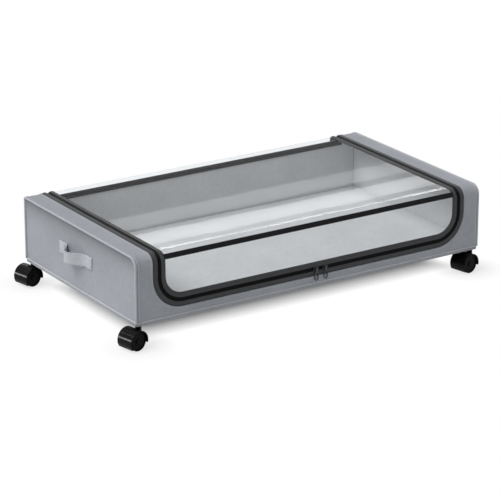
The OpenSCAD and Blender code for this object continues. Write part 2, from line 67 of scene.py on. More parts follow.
def low(node):
    """Lowest corner of a CAD node."""
    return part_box(node)[0]


def high(node):
    """Highest corner of a CAD node."""
    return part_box(node)[1]


# Main sizes of the box, read from the frame in metres, with the floor at z = 0.
HALF_L = high("base_piping").x
HALF_D = high("base_piping").y
RIDE = low("bottom_cover").z
TOP = high("left_piping").z
FOOT = low("front_panel").z
SHOULDER_Z = high("front_panel").z
SHOULDER_R = TOP - SHOULDER_Z
REAR_R = TOP - high("back_panel").z
END_IN = high("front_panel").x
END_OUT = high("right_end_panel").x
PIPE_R = (HALF_L - END_IN) / 2
BASE_PIPE_Z = (low("base_piping").z + high("base_piping").z) / 2
BASE_PIPE_R = high("base_piping").z - BASE_PIPE_Z
ZIP_X = (high("right_zip_tape").x + low("right_lid_tape").x) / 2
ZIP_W = high("right_zip_tape").x - ZIP_X
ZIP_Z = low("front_zip_tape").z + ZIP_W
REAR_SEAM = (high("rear_binding").z + low("lid_film").z) / 2
STRAP = (low("right_handle"), high("right_handle"))

# The cover, the zip and the film are cut flat and rolled over the box. The girth u of a flat piece runs
# up the front wall from the floor, over the shoulder, across the top and down the back wall.
U_SHOULDER = SHOULDER_Z
U_TOP = U_SHOULDER + SHOULDER_R * QUARTER
U_REAR = U_TOP + 2 * HALF_D - SHOULDER_R - REAR_R
U_BACK = U_REAR + REAR_R * QUARTER

# Small sizes of seams and layers, in metres.
WELD = 1e-6  # points nearer than this become one
NEAR = 1e-5  # points nearer than this lie on the same line
LAP = 0.0008  # how far a cut runs past its seam, or stays inside it
RIM = 0.0015  # width of the scored rim along a cut edge
SLACK = 0.0003  # how far stretched fabric still wanders
SEAM_SCORES = (0.0004, 0.0010, 0.0015, 0.0020, 0.0024, 0.0028, 0.0032, 0.0040, 0.0050, 0.0062, 0.014)
HEM_SCORES = (RIM, 0.004, 0.008)
HEM_FADE = 0.010  # how far above the base seam the fabric is still drawn in
BASE_CORNER = 0.005  # radius of the base's corners
END_TUCK = 0.0030  # how deep an end panel is tucked in behind its piping
END_SCORES = (0.002, 0.005, 0.012, 0.031)
FILM_TUCK = 0.006  # how far the film runs on under the zip tapes
FILM_REAR = 0.005  # how far it runs past the rear seam
FILM_THICK, FILM_DEPTH = 0.0005, 0.0007
STRAP_THICK = 0.0016
THREAD = 0.0007  # thickness of a stitch
HEM_ROW, HEM_LIFT = 0.0128, 0.0009  # stitching of the zip: distance from the chain, and height
TOOTH = (0.0034, 0.00082, 0.0017)  # length, width and height of a coil tooth
TOOTH_OFF, TOOTH_Z = 0.0004, -0.0025
FOLD_RUN = 0.0072  # length beside the window's fold over which the zip's raised band runs out
FOLD_LEFT, REAR_LEFT = 0.25, 0.48  # share of its height that is left at the fold, and down the back

# Sections of the zip's bands in millimetres, as (distance from the chain or the hem, height).
# The tape lies flat in the groove of the teeth, then makes a rounded sewn band.
TAPE = ((0.6, -1.5), (2.4, -1.45), (2.9, -1.0), (3.5, 0.0), (4.6, 1.0), (6.3, 1.55), (8.4, 1.7), (10.6, 1.4),
        (12.6, 0.6), (14.1, -0.35), (15.0, -1.2), (14.8, -1.7), (0.6, -1.8))
# The near-black cord under the coil teeth. From 2.8 to 4.4 mm it also runs up the band's inner flank, as painted
# shade of the groove.
CORD_AND_GROOVE_SHADE = ((0.05, -1.7), (0.05, -1.4), (0.6, -1.0), (1.5, -0.9), (2.4, -0.9), (2.8, -0.7), (3.4, 0.05),
        (4.2, 0.8), (4.4, 0.5), (3.4, -1.7))
HEM = ((0.1, -0.6), (0.1, 0.4), (0.5, 0.95), (1.4, 1.25), (2.4, 1.2), (3.6, 0.85), (4.8, 0.3), (5.6, -0.1),
       (5.6, -0.6))


def shade(*values):
    """A colour as it is mixed on screen (0 to 255), turned into Blender's linear values."""
    parts = (value / 255 for value in values)
    return tuple(c / 12.92 if c <= 0.04045 else ((c + 0.055) / 1.055) ** 2.4 for c in parts)


def length_prop(name, description, default):
    return FloatProperty(name=name, description=description, default=default, min=0.0, unit="LENGTH",
                        precision=4)


def angle_prop(name, description, degrees):
    return FloatProperty(name=name, description=description, default=math.radians(degrees), unit="ROTATION")


def colour_prop(name, description, default):
    return FloatVectorProperty(name=name, description=description, default=shade(*default), min=0.0, max=1.0,
                               subtype="COLOR", size=3)


class UnderBedSizes(bpy.types.PropertyGroup):
    """Sizes that dress the box."""

    zip_corner: length_prop("Zip corner", "Radius of the zip line at the two lower corners of the window", 0.055)
    fold: angle_prop("Fold", "Where the window folds, measured on the shoulder from its top", 44)
    binding_end: angle_prop("Binding end", "Lower edge of the front binding on the shoulder", 72)
    fabric: length_prop("Fabric", "Thickness of the lined cover fabric", 0.002)
    set_back: length_prop("Set back", "How far the end panels lie behind the middle of their piping", 0.0008)
    stitch: length_prop("Stitch", "Length of one stitch", 0.0030)
    stitch_gap: length_prop("Stitch pitch", "Distance from one stitch to the next", 0.0045)
    tooth_gap: length_prop("Tooth pitch", "Distance from one coil tooth to the next", 0.0016)
    tab: length_prop("Handle tab", "Length of the sewn part at each end of a handle", 0.024)
    bow: length_prop("Handle bow", "How far the middle of a handle stands off the end panel", 0.025)


class UnderBedColours(bpy.types.PropertyGroup):
    """Colours of the finishes."""

    cover: colour_prop("Cover", "Grey cover fabric", (168, 172, 179))
    piping: colour_prop("Piping", "Light piping", (186, 189, 195))
    seam: colour_prop("Base seam", "Piping of the base seam", (200, 202, 207))
    lining: colour_prop("Lining", "Lined boards", (224, 225, 226))
    webbing: colour_prop("Webbing", "Strap handles", (203, 206, 212))
    tape: colour_prop("Zip tape", "Zip tapes", (68, 69, 71))
    # Near black: the coil, and the cord's stretch up the tape's inner flank, which is painted shade of the
    # groove.
    coil: colour_prop("Zip coil", "Zip coil", (11, 11, 12))
    binding: colour_prop("Binding", "Bindings of the clear sheet", (30, 30, 32))
    thread: colour_prop("Thread", "Stitching on the dark tapes", (70, 71, 74))
    film: colour_prop("Film", "Clear film", (247, 249, 250))
    hood: colour_prop("Hood", "Caster hoods", (6, 6, 7))
    wheel: colour_prop("Wheel", "Caster wheels", (9, 9, 10))
    steel: colour_prop("Steel", "Axles, stems and tubes", (172, 173, 175))
    slider: colour_prop("Slider", "Sliders and pulls", (74, 75, 79))


def sizes():
    return bpy.context.scene.under_bed_sizes


def colours():
    return bpy.context.scene.under_bed_colours


# ---- Flat cutting

def on_shoulder(angle):
    """Girth at an angle on the shoulder, measured from its top."""
    return U_TOP - SHOULDER_R * angle


def on_back(z):
    """Girth at a height on the back wall."""
    return U_BACK + TOP - REAR_R - z


def face_point(u):
    """Place on the outer face at a girth, as (y, z), and the way that face looks."""
    if u <= U_SHOULDER:
        return Vector((-HALF_D, u)), Vector((-1, 0))
    if u <= U_TOP:
        turn = (u - U_SHOULDER) / SHOULDER_R
        away = Vector((-math.cos(turn), math.sin(turn)))
        return Vector((-HALF_D + SHOULDER_R, SHOULDER_Z)) + away * SHOULDER_R, away
    if u <= U_REAR:
        return Vector((-HALF_D + SHOULDER_R + u - U_TOP, TOP)), Vector((0, 1))
    if u <= U_BACK:
        turn = (u - U_REAR) / REAR_R
        away = Vector((math.sin(turn), math.cos(turn)))
        return Vector((HALF_D - REAR_R, TOP - REAR_R)) + away * REAR_R, away
    return Vector((HALF_D, TOP - REAR_R - (u - U_BACK))), Vector((1, 0))


def roll(bm):
    """Rolls a flat piece, laid as (x, girth, height), over the box."""
    for vert in bm.verts:
        x, u, height = vert.co
        place, away = face_point(u)
        place = place + away * height
        vert.co = (x, place.x, place.y)


def spaced(start, end, gap):
    """Evenly spaced places between two ends, the ends left out."""
    count = max(1, round((end - start) / gap))
    return [start + (end - start) * i / count for i in range(1, count)]


def bends():
    """Girths where a flat piece is scored, so that it rolls round."""
    shoulder = [U_SHOULDER + (U_TOP - U_SHOULDER) * i / 12 for i in range(13)]
    rear = [U_REAR + (U_BACK - U_REAR) * i / 4 for i in range(5)]
    return shoulder + rear


def corner_turns(count):
    """Angles of the short straight cuts that round a corner."""
    return [QUARTER * (i + 0.5) / count for i in range(count)]


def cut(bm, at, normal, faces=None, drop=False):
    """Scores a piece along a plane, or cuts it off beyond the plane."""
    faces = bm.faces[:] if faces is None else faces
    geom = dict.fromkeys(faces)
    for face in faces:
        geom.update(dict.fromkeys((*face.edges, *face.verts)))
    bmesh.ops.bisect_plane(bm, geom=list(geom), plane_co=at, plane_no=normal, dist=1e-7, clear_outer=drop)


def score(bm, places, start, end, normal=(0, 1, 0)):
    """Scores a flat piece across an axis, at the places that lie between two ends."""
    for place in sorted(places):
        if start < place < end:
            cut(bm, Vector(normal) * place, normal)


def round_corner(bm, centre, radius, x_way, y_way):
    """Cuts a corner of a flat piece round."""
    for angle in corner_turns(10):
        away = Vector((x_way * math.sin(angle), y_way * math.cos(angle), 0))
        cut(bm, centre + away * radius, away, drop=True)


def flat_sheet(x0, x1, y0, y1, x_cuts=(), y_cuts=()):
    """A flat sheet between two corners, scored along the given lines."""
    bm = bmesh.new()
    bmesh.ops.create_grid(bm, x_segments=1, y_segments=1, size=0.5)
    bmesh.ops.scale(bm, vec=(x1 - x0, y1 - y0, 1), verts=bm.verts)
    bmesh.ops.translate(bm, vec=((x0 + x1) / 2, (y0 + y1) / 2, 0), verts=bm.verts)
    score(bm, x_cuts, x0, x1, (1, 0, 0))
    score(bm, y_cuts, y0, y1)
    return bm


def area_of(bm):
    return sum(face.calc_area() for face in bm.faces)


def mark_cut(bm):
    """Keeps the flat cut, in metres, as the UV map that the weaves follow."""
    layer = bm.loops.layers.uv.get("UVMap") or bm.loops.layers.uv.new("UVMap")
    for face in bm.faces:
        face.normal_update()
        flat = max(range(3), key=lambda axis: abs(face.normal[axis]))
        first, second = [axis for axis in range(3) if axis != flat]
        for loop in face.loops:
            loop[layer].uv = (loop.vert.co[first], loop.vert.co[second])


def thicken(bm, thickness):
    """Gives a flat sheet its thickness, below the face that shows."""
    bmesh.ops.recalc_face_normals(bm, faces=bm.faces)
    if sum(face.normal.z for face in bm.faces) < 0:
        bmesh.ops.reverse_faces(bm, faces=bm.faces)
    bmesh.ops.solidify(bm, geom=bm.faces[:], thickness=thickness)


def ease(value):
    """Soft step from 0 to 1."""
    value = min(1.0, max(0.0, value))
    return value * value * (3 - 2 * value)


def ring(bm, points):
    """A closed outline from a few points."""
    verts = [bm.verts.new(point) for point in points]
    return [bm.edges.new(pair) for pair in zip(verts, verts[1:] + verts[:1])]


def edges_at(verts):
    """The edges that meet at some vertices."""
    return list(dict.fromkeys(edge for vert in verts for edge in vert.link_edges))


def round_outline(bm, radius, segments, matrix):
    """The outline of a round cord."""
    return edges_at(bmesh.ops.create_circle(bm, segments=segments, radius=radius, matrix=matrix)["verts"])


def sweep(bm, edges, moves, axis=(0, 0, 1)):
    """Carries an outline along straight moves (a vector) and turns (centre, angle, steps)."""
    for move in moves:
        if isinstance(move, Vector):
            made = bmesh.ops.extrude_edge_only(bm, edges=edges)["geom"]
        else:
            centre, angle, steps = move
            verts = list(dict.fromkeys(vert for edge in edges for vert in edge.verts))
            made = bmesh.ops.spin(bm, geom=verts + edges, cent=centre, axis=axis, angle=angle, steps=steps)
            made = made["geom_last"]
        verts = {item for item in made if isinstance(item, bmesh.types.BMVert)}
        if isinstance(move, Vector):
            bmesh.ops.translate(bm, vec=move, verts=list(verts))
        edges = [item for item in made if isinstance(item, bmesh.types.BMEdge) and set(item.verts) <= verts]


def close_ends(bm):
    """Closes the open ends of a swept piece."""
    bmesh.ops.remove_doubles(bm, verts=bm.verts, dist=WELD)
    bmesh.ops.holes_fill(bm, edges=[edge for edge in bm.edges if edge.is_boundary], sides=0)


def soften(bm, edges, radius, segments=2):
    """Rounds edges over."""
    bmesh.ops.bevel(bm, geom=edges, offset=radius, offset_type="OFFSET", affect="EDGES", segments=segments,
                    profile=0.5, material=-1, clamp_overlap=True)


def sharp_edges(bm, angle=50):
    """Edges where two faces meet at more than an angle in degrees."""
    least = math.radians(angle)
    return [edge for edge in bm.edges if len(edge.link_faces) == 2 and edge.calc_face_angle() > least]


def block(bm, corner, other):
    """A block between two corners. Returns its vertices."""
    middle = (Vector(corner) + Vector(other)) / 2
    size = Vector(other) - Vector(corner)
    matrix = Matrix.Translation(middle) @ Matrix.Diagonal((*size, 1))
    return bmesh.ops.create_cube(bm, size=1, matrix=matrix)["verts"]


def to_mesh(name, bm):
    """Turns a finished bmesh into a mesh."""
    mesh = bpy.data.meshes.new(name)
    bm.to_mesh(mesh)
    bm.free()
    return mesh


def stand(name, data):
    """Puts a new object into the scene."""
    ob = bpy.data.objects.new(name, data)
    bpy.context.scene.collection.objects.link(ob)
    return ob


def set_beads(bm, places, length, width, height):
    """Sets small rounded beads, which are stitches or teeth, at places given as (x, y, z, heading)."""
    small = bmesh.new()
    form = Matrix.Diagonal((length / 2, width / 2, height / 2, 1))
    bmesh.ops.create_uvsphere(small, u_segments=6, v_segments=3, radius=1, matrix=form)
    bead = to_mesh("bead", small)
    for x, y, z, heading in places:
        turned = bead.copy()
        turned.transform(Matrix.Translation((x, y, z)) @ Matrix.Rotation(heading, 4, "Z"))
        bm.from_mesh(turned)
        bpy.data.meshes.remove(turned)
    bpy.data.meshes.remove(bead)


def piece(name, bm, finish, nodes=(), body="box", angle=40):
    """Makes the finished object of a piece, and lets it ride on its body."""
    bmesh.ops.remove_doubles(bm, verts=bm.verts, dist=WELD)
    bmesh.ops.recalc_face_normals(bm, faces=bm.faces)
    mesh = to_mesh(name, bm)
    mesh.shade_smooth()
    mesh.set_sharp_from_angle(angle=math.radians(angle))
    mesh.materials.append(get_finish(finish))
    ob = stand(name, mesh)
    if nodes:
        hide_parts(*nodes)
    if body:
        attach(ob, body)
    return ob


# ---- Zip line

def zip_moves(u_top):
    """The way of the zip line in the flat: down the left side, round the window and up the right side."""
    corner = sizes().zip_corner
    rise = u_top - ZIP_Z - corner
    return [
        Vector((0, -rise, 0)),
        ((corner - ZIP_X, ZIP_Z + corner, 0), QUARTER, 16),
        Vector((2 * (ZIP_X - corner), 0, 0)),
        ((ZIP_X - corner, ZIP_Z + corner, 0), QUARTER, 16),
        Vector((0, rise, 0)),
    ]


def zip_walk(offset, gap, u_from, u_to, phase=0.5):
    """Places along the zip line between two girths, as (x, girth, heading), at an offset from its chain.
    They are counted from the middle of the window, so that the teeth of the two halves lie between each other."""
    corner = sizes().zip_corner
    across = ZIP_X - corner
    bend = corner * QUARTER
    for side in SIDES.values():
        for i in range(round((across + bend + u_to - ZIP_Z) / gap)):
            s = (i + phase) * gap
            turn = QUARTER * min(1.0, max(0.0, (s - across) / bend))
            away = Vector((side * math.sin(turn), -math.cos(turn)))
            x = side * (min(s, across) + corner * math.sin(turn))
            u = ZIP_Z + corner * (1 - math.cos(turn)) + max(0.0, s - across - bend)
            if u_from <= u <= u_to:
                yield x + away.x * offset, u + away.y * offset, side * turn


def in_metres(section, side=1):
    """A section given in millimetres, for the outer (1) or the inner (-1) side of the chain."""
    return [(side * offset / 1000, height / 1000) for offset, height in section]


def run_outs():
    """Girths beside the window's fold where the raised band of the zip runs out."""
    return [on_shoulder(sizes().fold) + FOLD_RUN * i / 6 for i in range(-6, 7) if i]


def run_out(bm):
    """Lowers the raised band where the clear sheet turns back on itself: beside the fold and down the back."""
    for vert in bm.verts:
        x, u, height = vert.co
        if height > 0:
            fold = FOLD_LEFT + (1 - FOLD_LEFT) * ease(abs(u - on_shoulder(sizes().fold)) / FOLD_RUN)
            rear = 1 - (1 - REAR_LEFT) * ease((u - U_REAR) / (U_BACK - U_REAR))
            vert.co.z = height * min(fold, rear)


def band(outlines, moves):
    """Closed outlines carried along some moves."""
    bm = bmesh.new()
    for outline in outlines:
        sweep(bm, ring(bm, outline), moves)
    close_ends(bm)
    return bm


def zip_band(section, u_top):
    """A closed section carried along the zip line, from the girth u_top on the left to u_top on the right."""
    bm = band([[(-(ZIP_X + offset), u_top, height) for offset, height in section]], zip_moves(u_top))
    score(bm, bends() + run_outs(), 0, u_top)
    return bm


def straight_band(section, u0, u1):
    """A closed section carried straight up both sides of the top."""
    outlines = [[(side * (ZIP_X + d), u0, height) for d, height in section] for side in SIDES.values()]
    bm = band(outlines, [Vector((0, u1 - u0, 0))])
    score(bm, bends() + run_outs(), u0, u1)
    return bm


def cross_band(section, x_half):
    """A closed section of (girth, height) carried across the box."""
    return band([[(-x_half, u, height) for u, height in section]], [Vector((2 * x_half, 0, 0))])


def sewn_row(places, lift):
    """A row of stitches at the given places, as (x, girth, heading)."""
    bm = bmesh.new()
    set_beads(bm, [(x, u, lift, heading) for x, u, heading in places], sizes().stitch, THREAD, THREAD)
    return bm


def zip_half(name, body, side, carry, tooth_ends, stitch_ends, tapes, coil):
    """One half of the zip: tape, dark cord with its coil teeth, and a row of stitching along the hem. The cord
    also runs up the tape's inner flank, as painted shade of the groove.
    """
    band = carry(in_metres(TAPE, side))
    mark_cut(band)
    cord = carry(in_metres(CORD_AND_GROOVE_SHADE, side))
    teeth = zip_walk(side * TOOTH_OFF, sizes().tooth_gap, *tooth_ends, 0.5 if side > 0 else 1.0)
    set_beads(cord, [(x, u, TOOTH_Z, heading + QUARTER) for x, u, heading in teeth], *TOOTH)
    row = sewn_row(zip_walk(side * HEM_ROW, sizes().stitch_gap, *stitch_ends), HEM_LIFT)
    for part, bm, finish, slot, nodes in (
        ("zip_band", band, "zip_tape_twill", "zip_tape", tapes),
        ("coil", cord, "coil_nylon", "zip_coil", (coil,)),
        ("zip_stitching", row, "dark_thread", "zip_tape", ()),
    ):
        if side < 0:
            run_out(bm)
        roll(bm)
        piece(f"{name}_{part}", bm, finish, nodes, body)


# ---- Node groups

def feed(socket, value):
    """Feeds an input from another node's socket, or with a plain value."""
    if isinstance(value, bpy.types.NodeSocket):
        socket.id_data.links.new(value, socket)
    else:
        socket.default_value = value


def wire(node, *values, **named):
    """Feeds a node's inputs, in their order or by name with _ for a space."""
    for socket, value in zip(node.inputs, values):
        feed(socket, value)
    for name, value in named.items():
        feed(node.inputs[name.replace("_", " ")], value)
    return node


def beside(kind, values):
    """A new node in the tree of the first socket among some values."""
    tree = next(value.id_data for value in values if isinstance(value, bpy.types.NodeSocket))
    return tree.nodes.new(kind)


def add(kind, *values, **named):
    """A new node with its inputs fed."""
    return wire(beside(kind, (*values, *named.values())), *values, **named)


def axes(vector):
    """The three axes of a vector."""
    return add("ShaderNodeSeparateXYZ", vector).outputs[:]


def maths(operation, *values):
    """A Math node. Returns its output, as the next ones do."""
    node = beside("ShaderNodeMath", values)
    node.operation = operation
    return wire(node, *values).outputs[0]


def times(first, second, plus=0.0):
    """One value times another, plus a third."""
    return maths("MULTIPLY_ADD", first, second, plus)


def ramp(value, low_in, high_in, low_out=0.0, high_out=1.0):
    """A Map Range node."""
    return add("ShaderNodeMapRange", value, low_in, high_in, low_out, high_out).outputs["Result"]


def mix(factor, first, second, blend="MIX"):
    """A Mix node for colours."""
    node = beside("ShaderNodeMix", (factor, first, second))
    node.data_type, node.blend_type = "RGBA", blend
    for i, value in ((0, factor), (6, first), (7, second)):
        feed(node.inputs[i], value)
    return node.outputs[2]


def noise(vector, scale, detail=2.0, roughness=0.5):
    """A Noise Texture."""
    return add("ShaderNodeTexNoise", Vector=vector, Scale=scale, Detail=detail, Roughness=roughness).outputs[0]


def effect(name, output, **numbers):
    """A new node group with a Vector input, named number inputs and one value output. Returns its output node
    and its inputs in order."""
    tree = bpy.data.node_groups.new(name, "ShaderNodeTree")
    tree.interface.new_socket("Vector", in_out="INPUT", socket_type="NodeSocketVector")
    for number, default in numbers.items():
        socket = tree.interface.new_socket(number, in_out="INPUT", socket_type="NodeSocketFloat")
        socket.default_value = default
    tree.interface.new_socket(output, in_out="OUTPUT", socket_type="NodeSocketFloat")
    given = tree.nodes.new("NodeGroupInput").outputs[:1 + len(numbers)]
    return tree.nodes.new("NodeGroupOutput"), *given


def make_weave():
    """Plain weave: yarns over and under each other, a little uneven."""
    out, vector, threads = effect("Weave", "Height", Threads=500.0)
    pace = times(threads, 2 * math.pi)
    warp, weft = [maths("SINE", times(axis, pace)) for axis in axes(vector)[:2]]
    crossing = times(times(warp, weft), 0.38, 0.4)
    yarn = noise(vector, times(threads, 0.35), 3.0)
    wire(out, Height=times(yarn, 0.3, crossing))


def make_rib():
    """Ribs across a tape or a strap, straight or slanted."""
    out, vector, threads, slant = effect("Rib", "Height", Threads=700.0, Slant=0.0)
    x, y, z = axes(vector)
    wave = maths("SINE", times(times(x, slant, y), times(threads, 2 * math.pi)))
    yarn = noise(vector, times(threads, 0.6))
    wire(out, Height=times(yarn, 0.4, times(wave, 0.3, 0.3)))


def make_emboss():
    """Pressed dots of a bonded lining."""
    out, vector, threads = effect("Emboss", "Height", Threads=320.0)
    dots = add("ShaderNodeTexVoronoi", Vector=vector, Scale=threads, Randomness=0.15)
    pressed = ramp(dots.outputs["Distance"], 0.05, 0.5, 0.0, 0.65)
    fluff = noise(vector, times(threads, 3.0))
    wire(out, Height=times(fluff, 0.35, pressed))


def make_fibre():
    """Fine fibres of thread and cord."""
    out, vector, threads = effect("Fibre", "Height", Threads=1800.0)
    wire(out, Height=noise(vector, threads, 3.0, 0.6))


def make_mottle():
    """Slow change of tone, as dye and handling leave it."""
    out, vector, scale = effect("Mottle", "Tone", Scale=12.0)
    broad = noise(vector, scale, 3.0)
    close = noise(vector, times(scale, 9.0))
    wire(out, Tone=ramp(times(close, 0.4, times(broad, 0.6)), 0.36, 0.64))


def make_scuff():
    """Fine rubbed marks and dust on moulded and metal parts."""
    out, vector, scale, amount = effect("Scuff", "Mask", Scale=160.0, Amount=0.5)
    rubbed = add("ShaderNodeMapping", Vector=vector, Rotation=(0.5, 0.3, 0.9), Scale=(1.0, 14.0, 3.0))
    marks = ramp(noise(rubbed.outputs[0], scale, 4.0, 0.6), 0.56, 0.72)
    dust = ramp(noise(vector, times(scale, 0.3), 4.0, 0.6), 0.42, 0.75)
    wire(out, Mask=times(times(marks, 0.55, times(dust, 0.45)), amount))


# ---- Finishes

def place(name, vector, **numbers):
    """A node group in a material, with its own values. Returns its output."""
    node = beside("ShaderNodeGroup", (vector,))
    node.node_tree = bpy.data.node_groups[name]
    return wire(node, Vector=vector, **numbers).outputs[0]


def new_finish(name, flat=False):
    """A new material. Returns its shader, and what its pattern follows: the part's frame, or the flat cut."""
    material = bpy.data.materials.new(name)
    material.use_nodes = True
    nodes = material.node_tree.nodes
    if not flat:
        return nodes["Principled BSDF"], nodes.new("ShaderNodeTexCoord").outputs["Object"]
    laid = nodes.new("ShaderNodeUVMap")
    laid.uv_map = "UVMap"
    return nodes["Principled BSDF"], laid.outputs["UV"]


def bump(height, strength, depth):
    """A Bump node. Returns its normal."""
    return add("ShaderNodeBump", Height=height, Strength=strength, Distance=depth).outputs[0]


def show_either(factor, first, second):
    """Shows the first shader, or the second one where the factor is 1."""
    either = add("ShaderNodeMixShader", factor, first.outputs[0], second.outputs[0])
    wire(first.id_data.nodes["Material Output"], either.outputs[0])


def toned(colour, factor):
    return tuple(min(1.0, c * factor) for c in colour) + (1.0,)


def cloth(name, colour, pattern, threads, flat=True, spread=0.08, grain=0.16, strength=0.5, depth=0.0004,
          rough=0.85, sheen=0.25, gloss=0.3, scale=11.0, seam=None, **numbers):
    """A woven or bonded finish: slow tone, yarn relief that also tints, a soft sheen, and painted shade below
    a seam.
    """
    shader, vector = new_finish(name, flat)
    tone = place("Mottle", vector, Scale=scale)
    yarn = place(pattern, vector, Threads=threads, **numbers)
    base = mix(tone, toned(colour, 1 - spread), toned(colour, 1 + spread))
    base = mix(1.0, base, ramp(yarn, 0.2, 0.8, 1 - grain, 1 + grain * 0.5), "MULTIPLY")
    # Painted shade below the seam: the colour is darkened by up to 58 % at the seam's height and fades out over
    # about 22 mm below it.
    if seam:
        fade, dark = 0.022, 0.58
        rise = maths("EXPONENT", times(axes(vector)[1], 1 / fade, -seam / fade))
        base = mix(1.0, base, times(rise, -dark, 1.0), "MULTIPLY")
    wire(shader, Base_Color=base, Roughness=ramp(tone, 0.0, 1.0, rough - 0.06, rough + 0.06),
         Sheen_Weight=sheen, Sheen_Roughness=0.45, Specular_IOR_Level=gloss,
         Normal=bump(yarn, strength, depth))


def moulded(name, colour, rough, gloss=0.5, wear=0.5, depth=0.00012):
    """A moulded plastic: fine texture, handling marks and dust that dull the gloss."""
    shader, vector = new_finish(name)
    mask = place("Scuff", vector, Scale=140.0, Amount=wear)
    tone = place("Mottle", vector, Scale=45.0)
    base = mix(tone, toned(colour, 0.85), toned(colour, 1.2))
    base = mix(mask, base, toned([c * 0.4 + 0.08 for c in colour], 1.0))
    dull = times(mask, 0.3, ramp(tone, 0.0, 1.0, rough - 0.04, rough + 0.05))
    grain = place("Fibre", vector, Threads=900.0)
    wire(shader, Base_Color=base, Roughness=dull, Specular_IOR_Level=gloss,
         Normal=bump(grain, 0.15, depth))


def metal(name, colour, rough):
    """A plated metal with a fine grain and rubbed marks."""
    shader, vector = new_finish(name)
    grain = place("Fibre", vector, Threads=420.0)
    mask = place("Scuff", vector, Scale=220.0, Amount=0.6)
    base = mix(grain, toned(colour, 0.72), toned(colour, 1.18))
    base = mix(mask, base, toned(colour, 0.45))
    dull = times(mask, 0.25, ramp(grain, 0.3, 0.7, rough - 0.06, rough + 0.08))
    wire(shader, Base_Color=base, Metallic=1.0, Roughness=dull, Normal=bump(grain, 0.12, 0.0001))


def clear_film(name, colour):
    """Clear sheet: slightly rippled, lets light and shadow through."""
    shader, vector = new_finish(name, True)
    nodes = shader.id_data.nodes
    tone = place("Mottle", vector, Scale=7.0)
    rubbed = place("Scuff", vector, Scale=30.0, Amount=0.6)
    wire(shader, Base_Color=mix(tone, toned(colour, 1.0), toned(colour, 0.97)),
         Roughness=ramp(rubbed, 0.0, 1.0, 0.02, 0.034), Transmission_Weight=1.0, IOR=1.05,
         Normal=bump(noise(vector, 4.0, 0.0), 0.01, 0.0006))
    clear = wire(nodes.new("ShaderNodeBsdfTransparent"), (0.96, 0.965, 0.97, 1))
    rays = nodes.new("ShaderNodeLightPath").outputs
    show_either(maths("MAXIMUM", rays["Is Shadow Ray"], rays["Is Diffuse Ray"]), shader, clear)


CORD_LOOK = dict(pattern="Fibre", threads=900.0, flat=False, spread=0.05, strength=0.35)
THREAD_LOOK = dict(pattern="Fibre", threads=2400.0, flat=False, sheen=0.15)
DARK_RIB = dict(pattern="Rib", sheen=0.05, scale=30.0)

# Every finish: how it is made, its colour, and the numbers that differ from the usual ones.
FINISHES = {
    "cover_weave": (cloth, "cover", dict(pattern="Weave", threads=420.0)),
    # The end panels' weave, with painted shade below their top seam.
    "end_weave": (cloth, "cover", dict(pattern="Weave", threads=420.0, seam=TOP - 2 * PIPE_R)),
    "piping_cord": (cloth, "piping", CORD_LOOK),
    "seam_cord": (cloth, "seam", CORD_LOOK),
    "bonded_lining": (cloth, "lining", dict(pattern="Emboss", threads=300.0, spread=0.05, grain=0.12, sheen=0.1)),
    "strap_webbing": (cloth, "webbing", dict(pattern="Rib", threads=420.0, spread=0.06, grain=0.3, strength=0.7,
                                             depth=0.0006)),
    "zip_tape_twill": (cloth, "tape", dict(DARK_RIB, threads=620.0, Slant=1.0, spread=0.12, grain=0.3, gloss=0.22,
                                           rough=0.6)),
    "binding_grosgrain": (cloth, "binding", dict(DARK_RIB, threads=700.0, spread=0.1, grain=0.35, gloss=0.1)),
    "dark_thread": (cloth, "thread", dict(THREAD_LOOK, grain=0.3)),
    "pale_thread": (cloth, "seam", dict(THREAD_LOOK, grain=0.25)),
    # The coil's near-black nylon, also on the cord's stretch up the band's inner flank as painted shade of the
    # groove.
    "coil_nylon": (moulded, "coil", dict(rough=0.45, gloss=0.06, wear=0.05)),
    "hood_gloss": (moulded, "hood", dict(rough=0.18, gloss=0.08, wear=0.04, depth=0.00003)),
    "stem_black": (moulded, "hood", dict(rough=0.3, gloss=0.16, wear=0.15)),
    "wheel_black": (moulded, "wheel", dict(rough=0.3, gloss=0.05, wear=0.06)),
    "socket_black": (moulded, "wheel", dict(rough=0.5)),
    "plated_steel": (metal, "steel", dict(rough=0.3)),
    "slider_gunmetal": (metal, "slider", dict(rough=0.32)),
    "clear_sheet": (clear_film, "film", {}),
}


def get_finish(name):
    """The material of a finish, made the first time it is asked for."""
    if name not in bpy.data.materials:
        make, colour, numbers = FINISHES[name]
        make(name, getattr(colours(), colour), **numbers)
    return bpy.data.materials[name]


def dress(finish, *nodes):
    """Gives CAD nodes that stay as they are their finish."""
    for node in nodes:
        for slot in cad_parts[node].material_slots:
            slot.material = get_finish(finish)


# ---- Cover

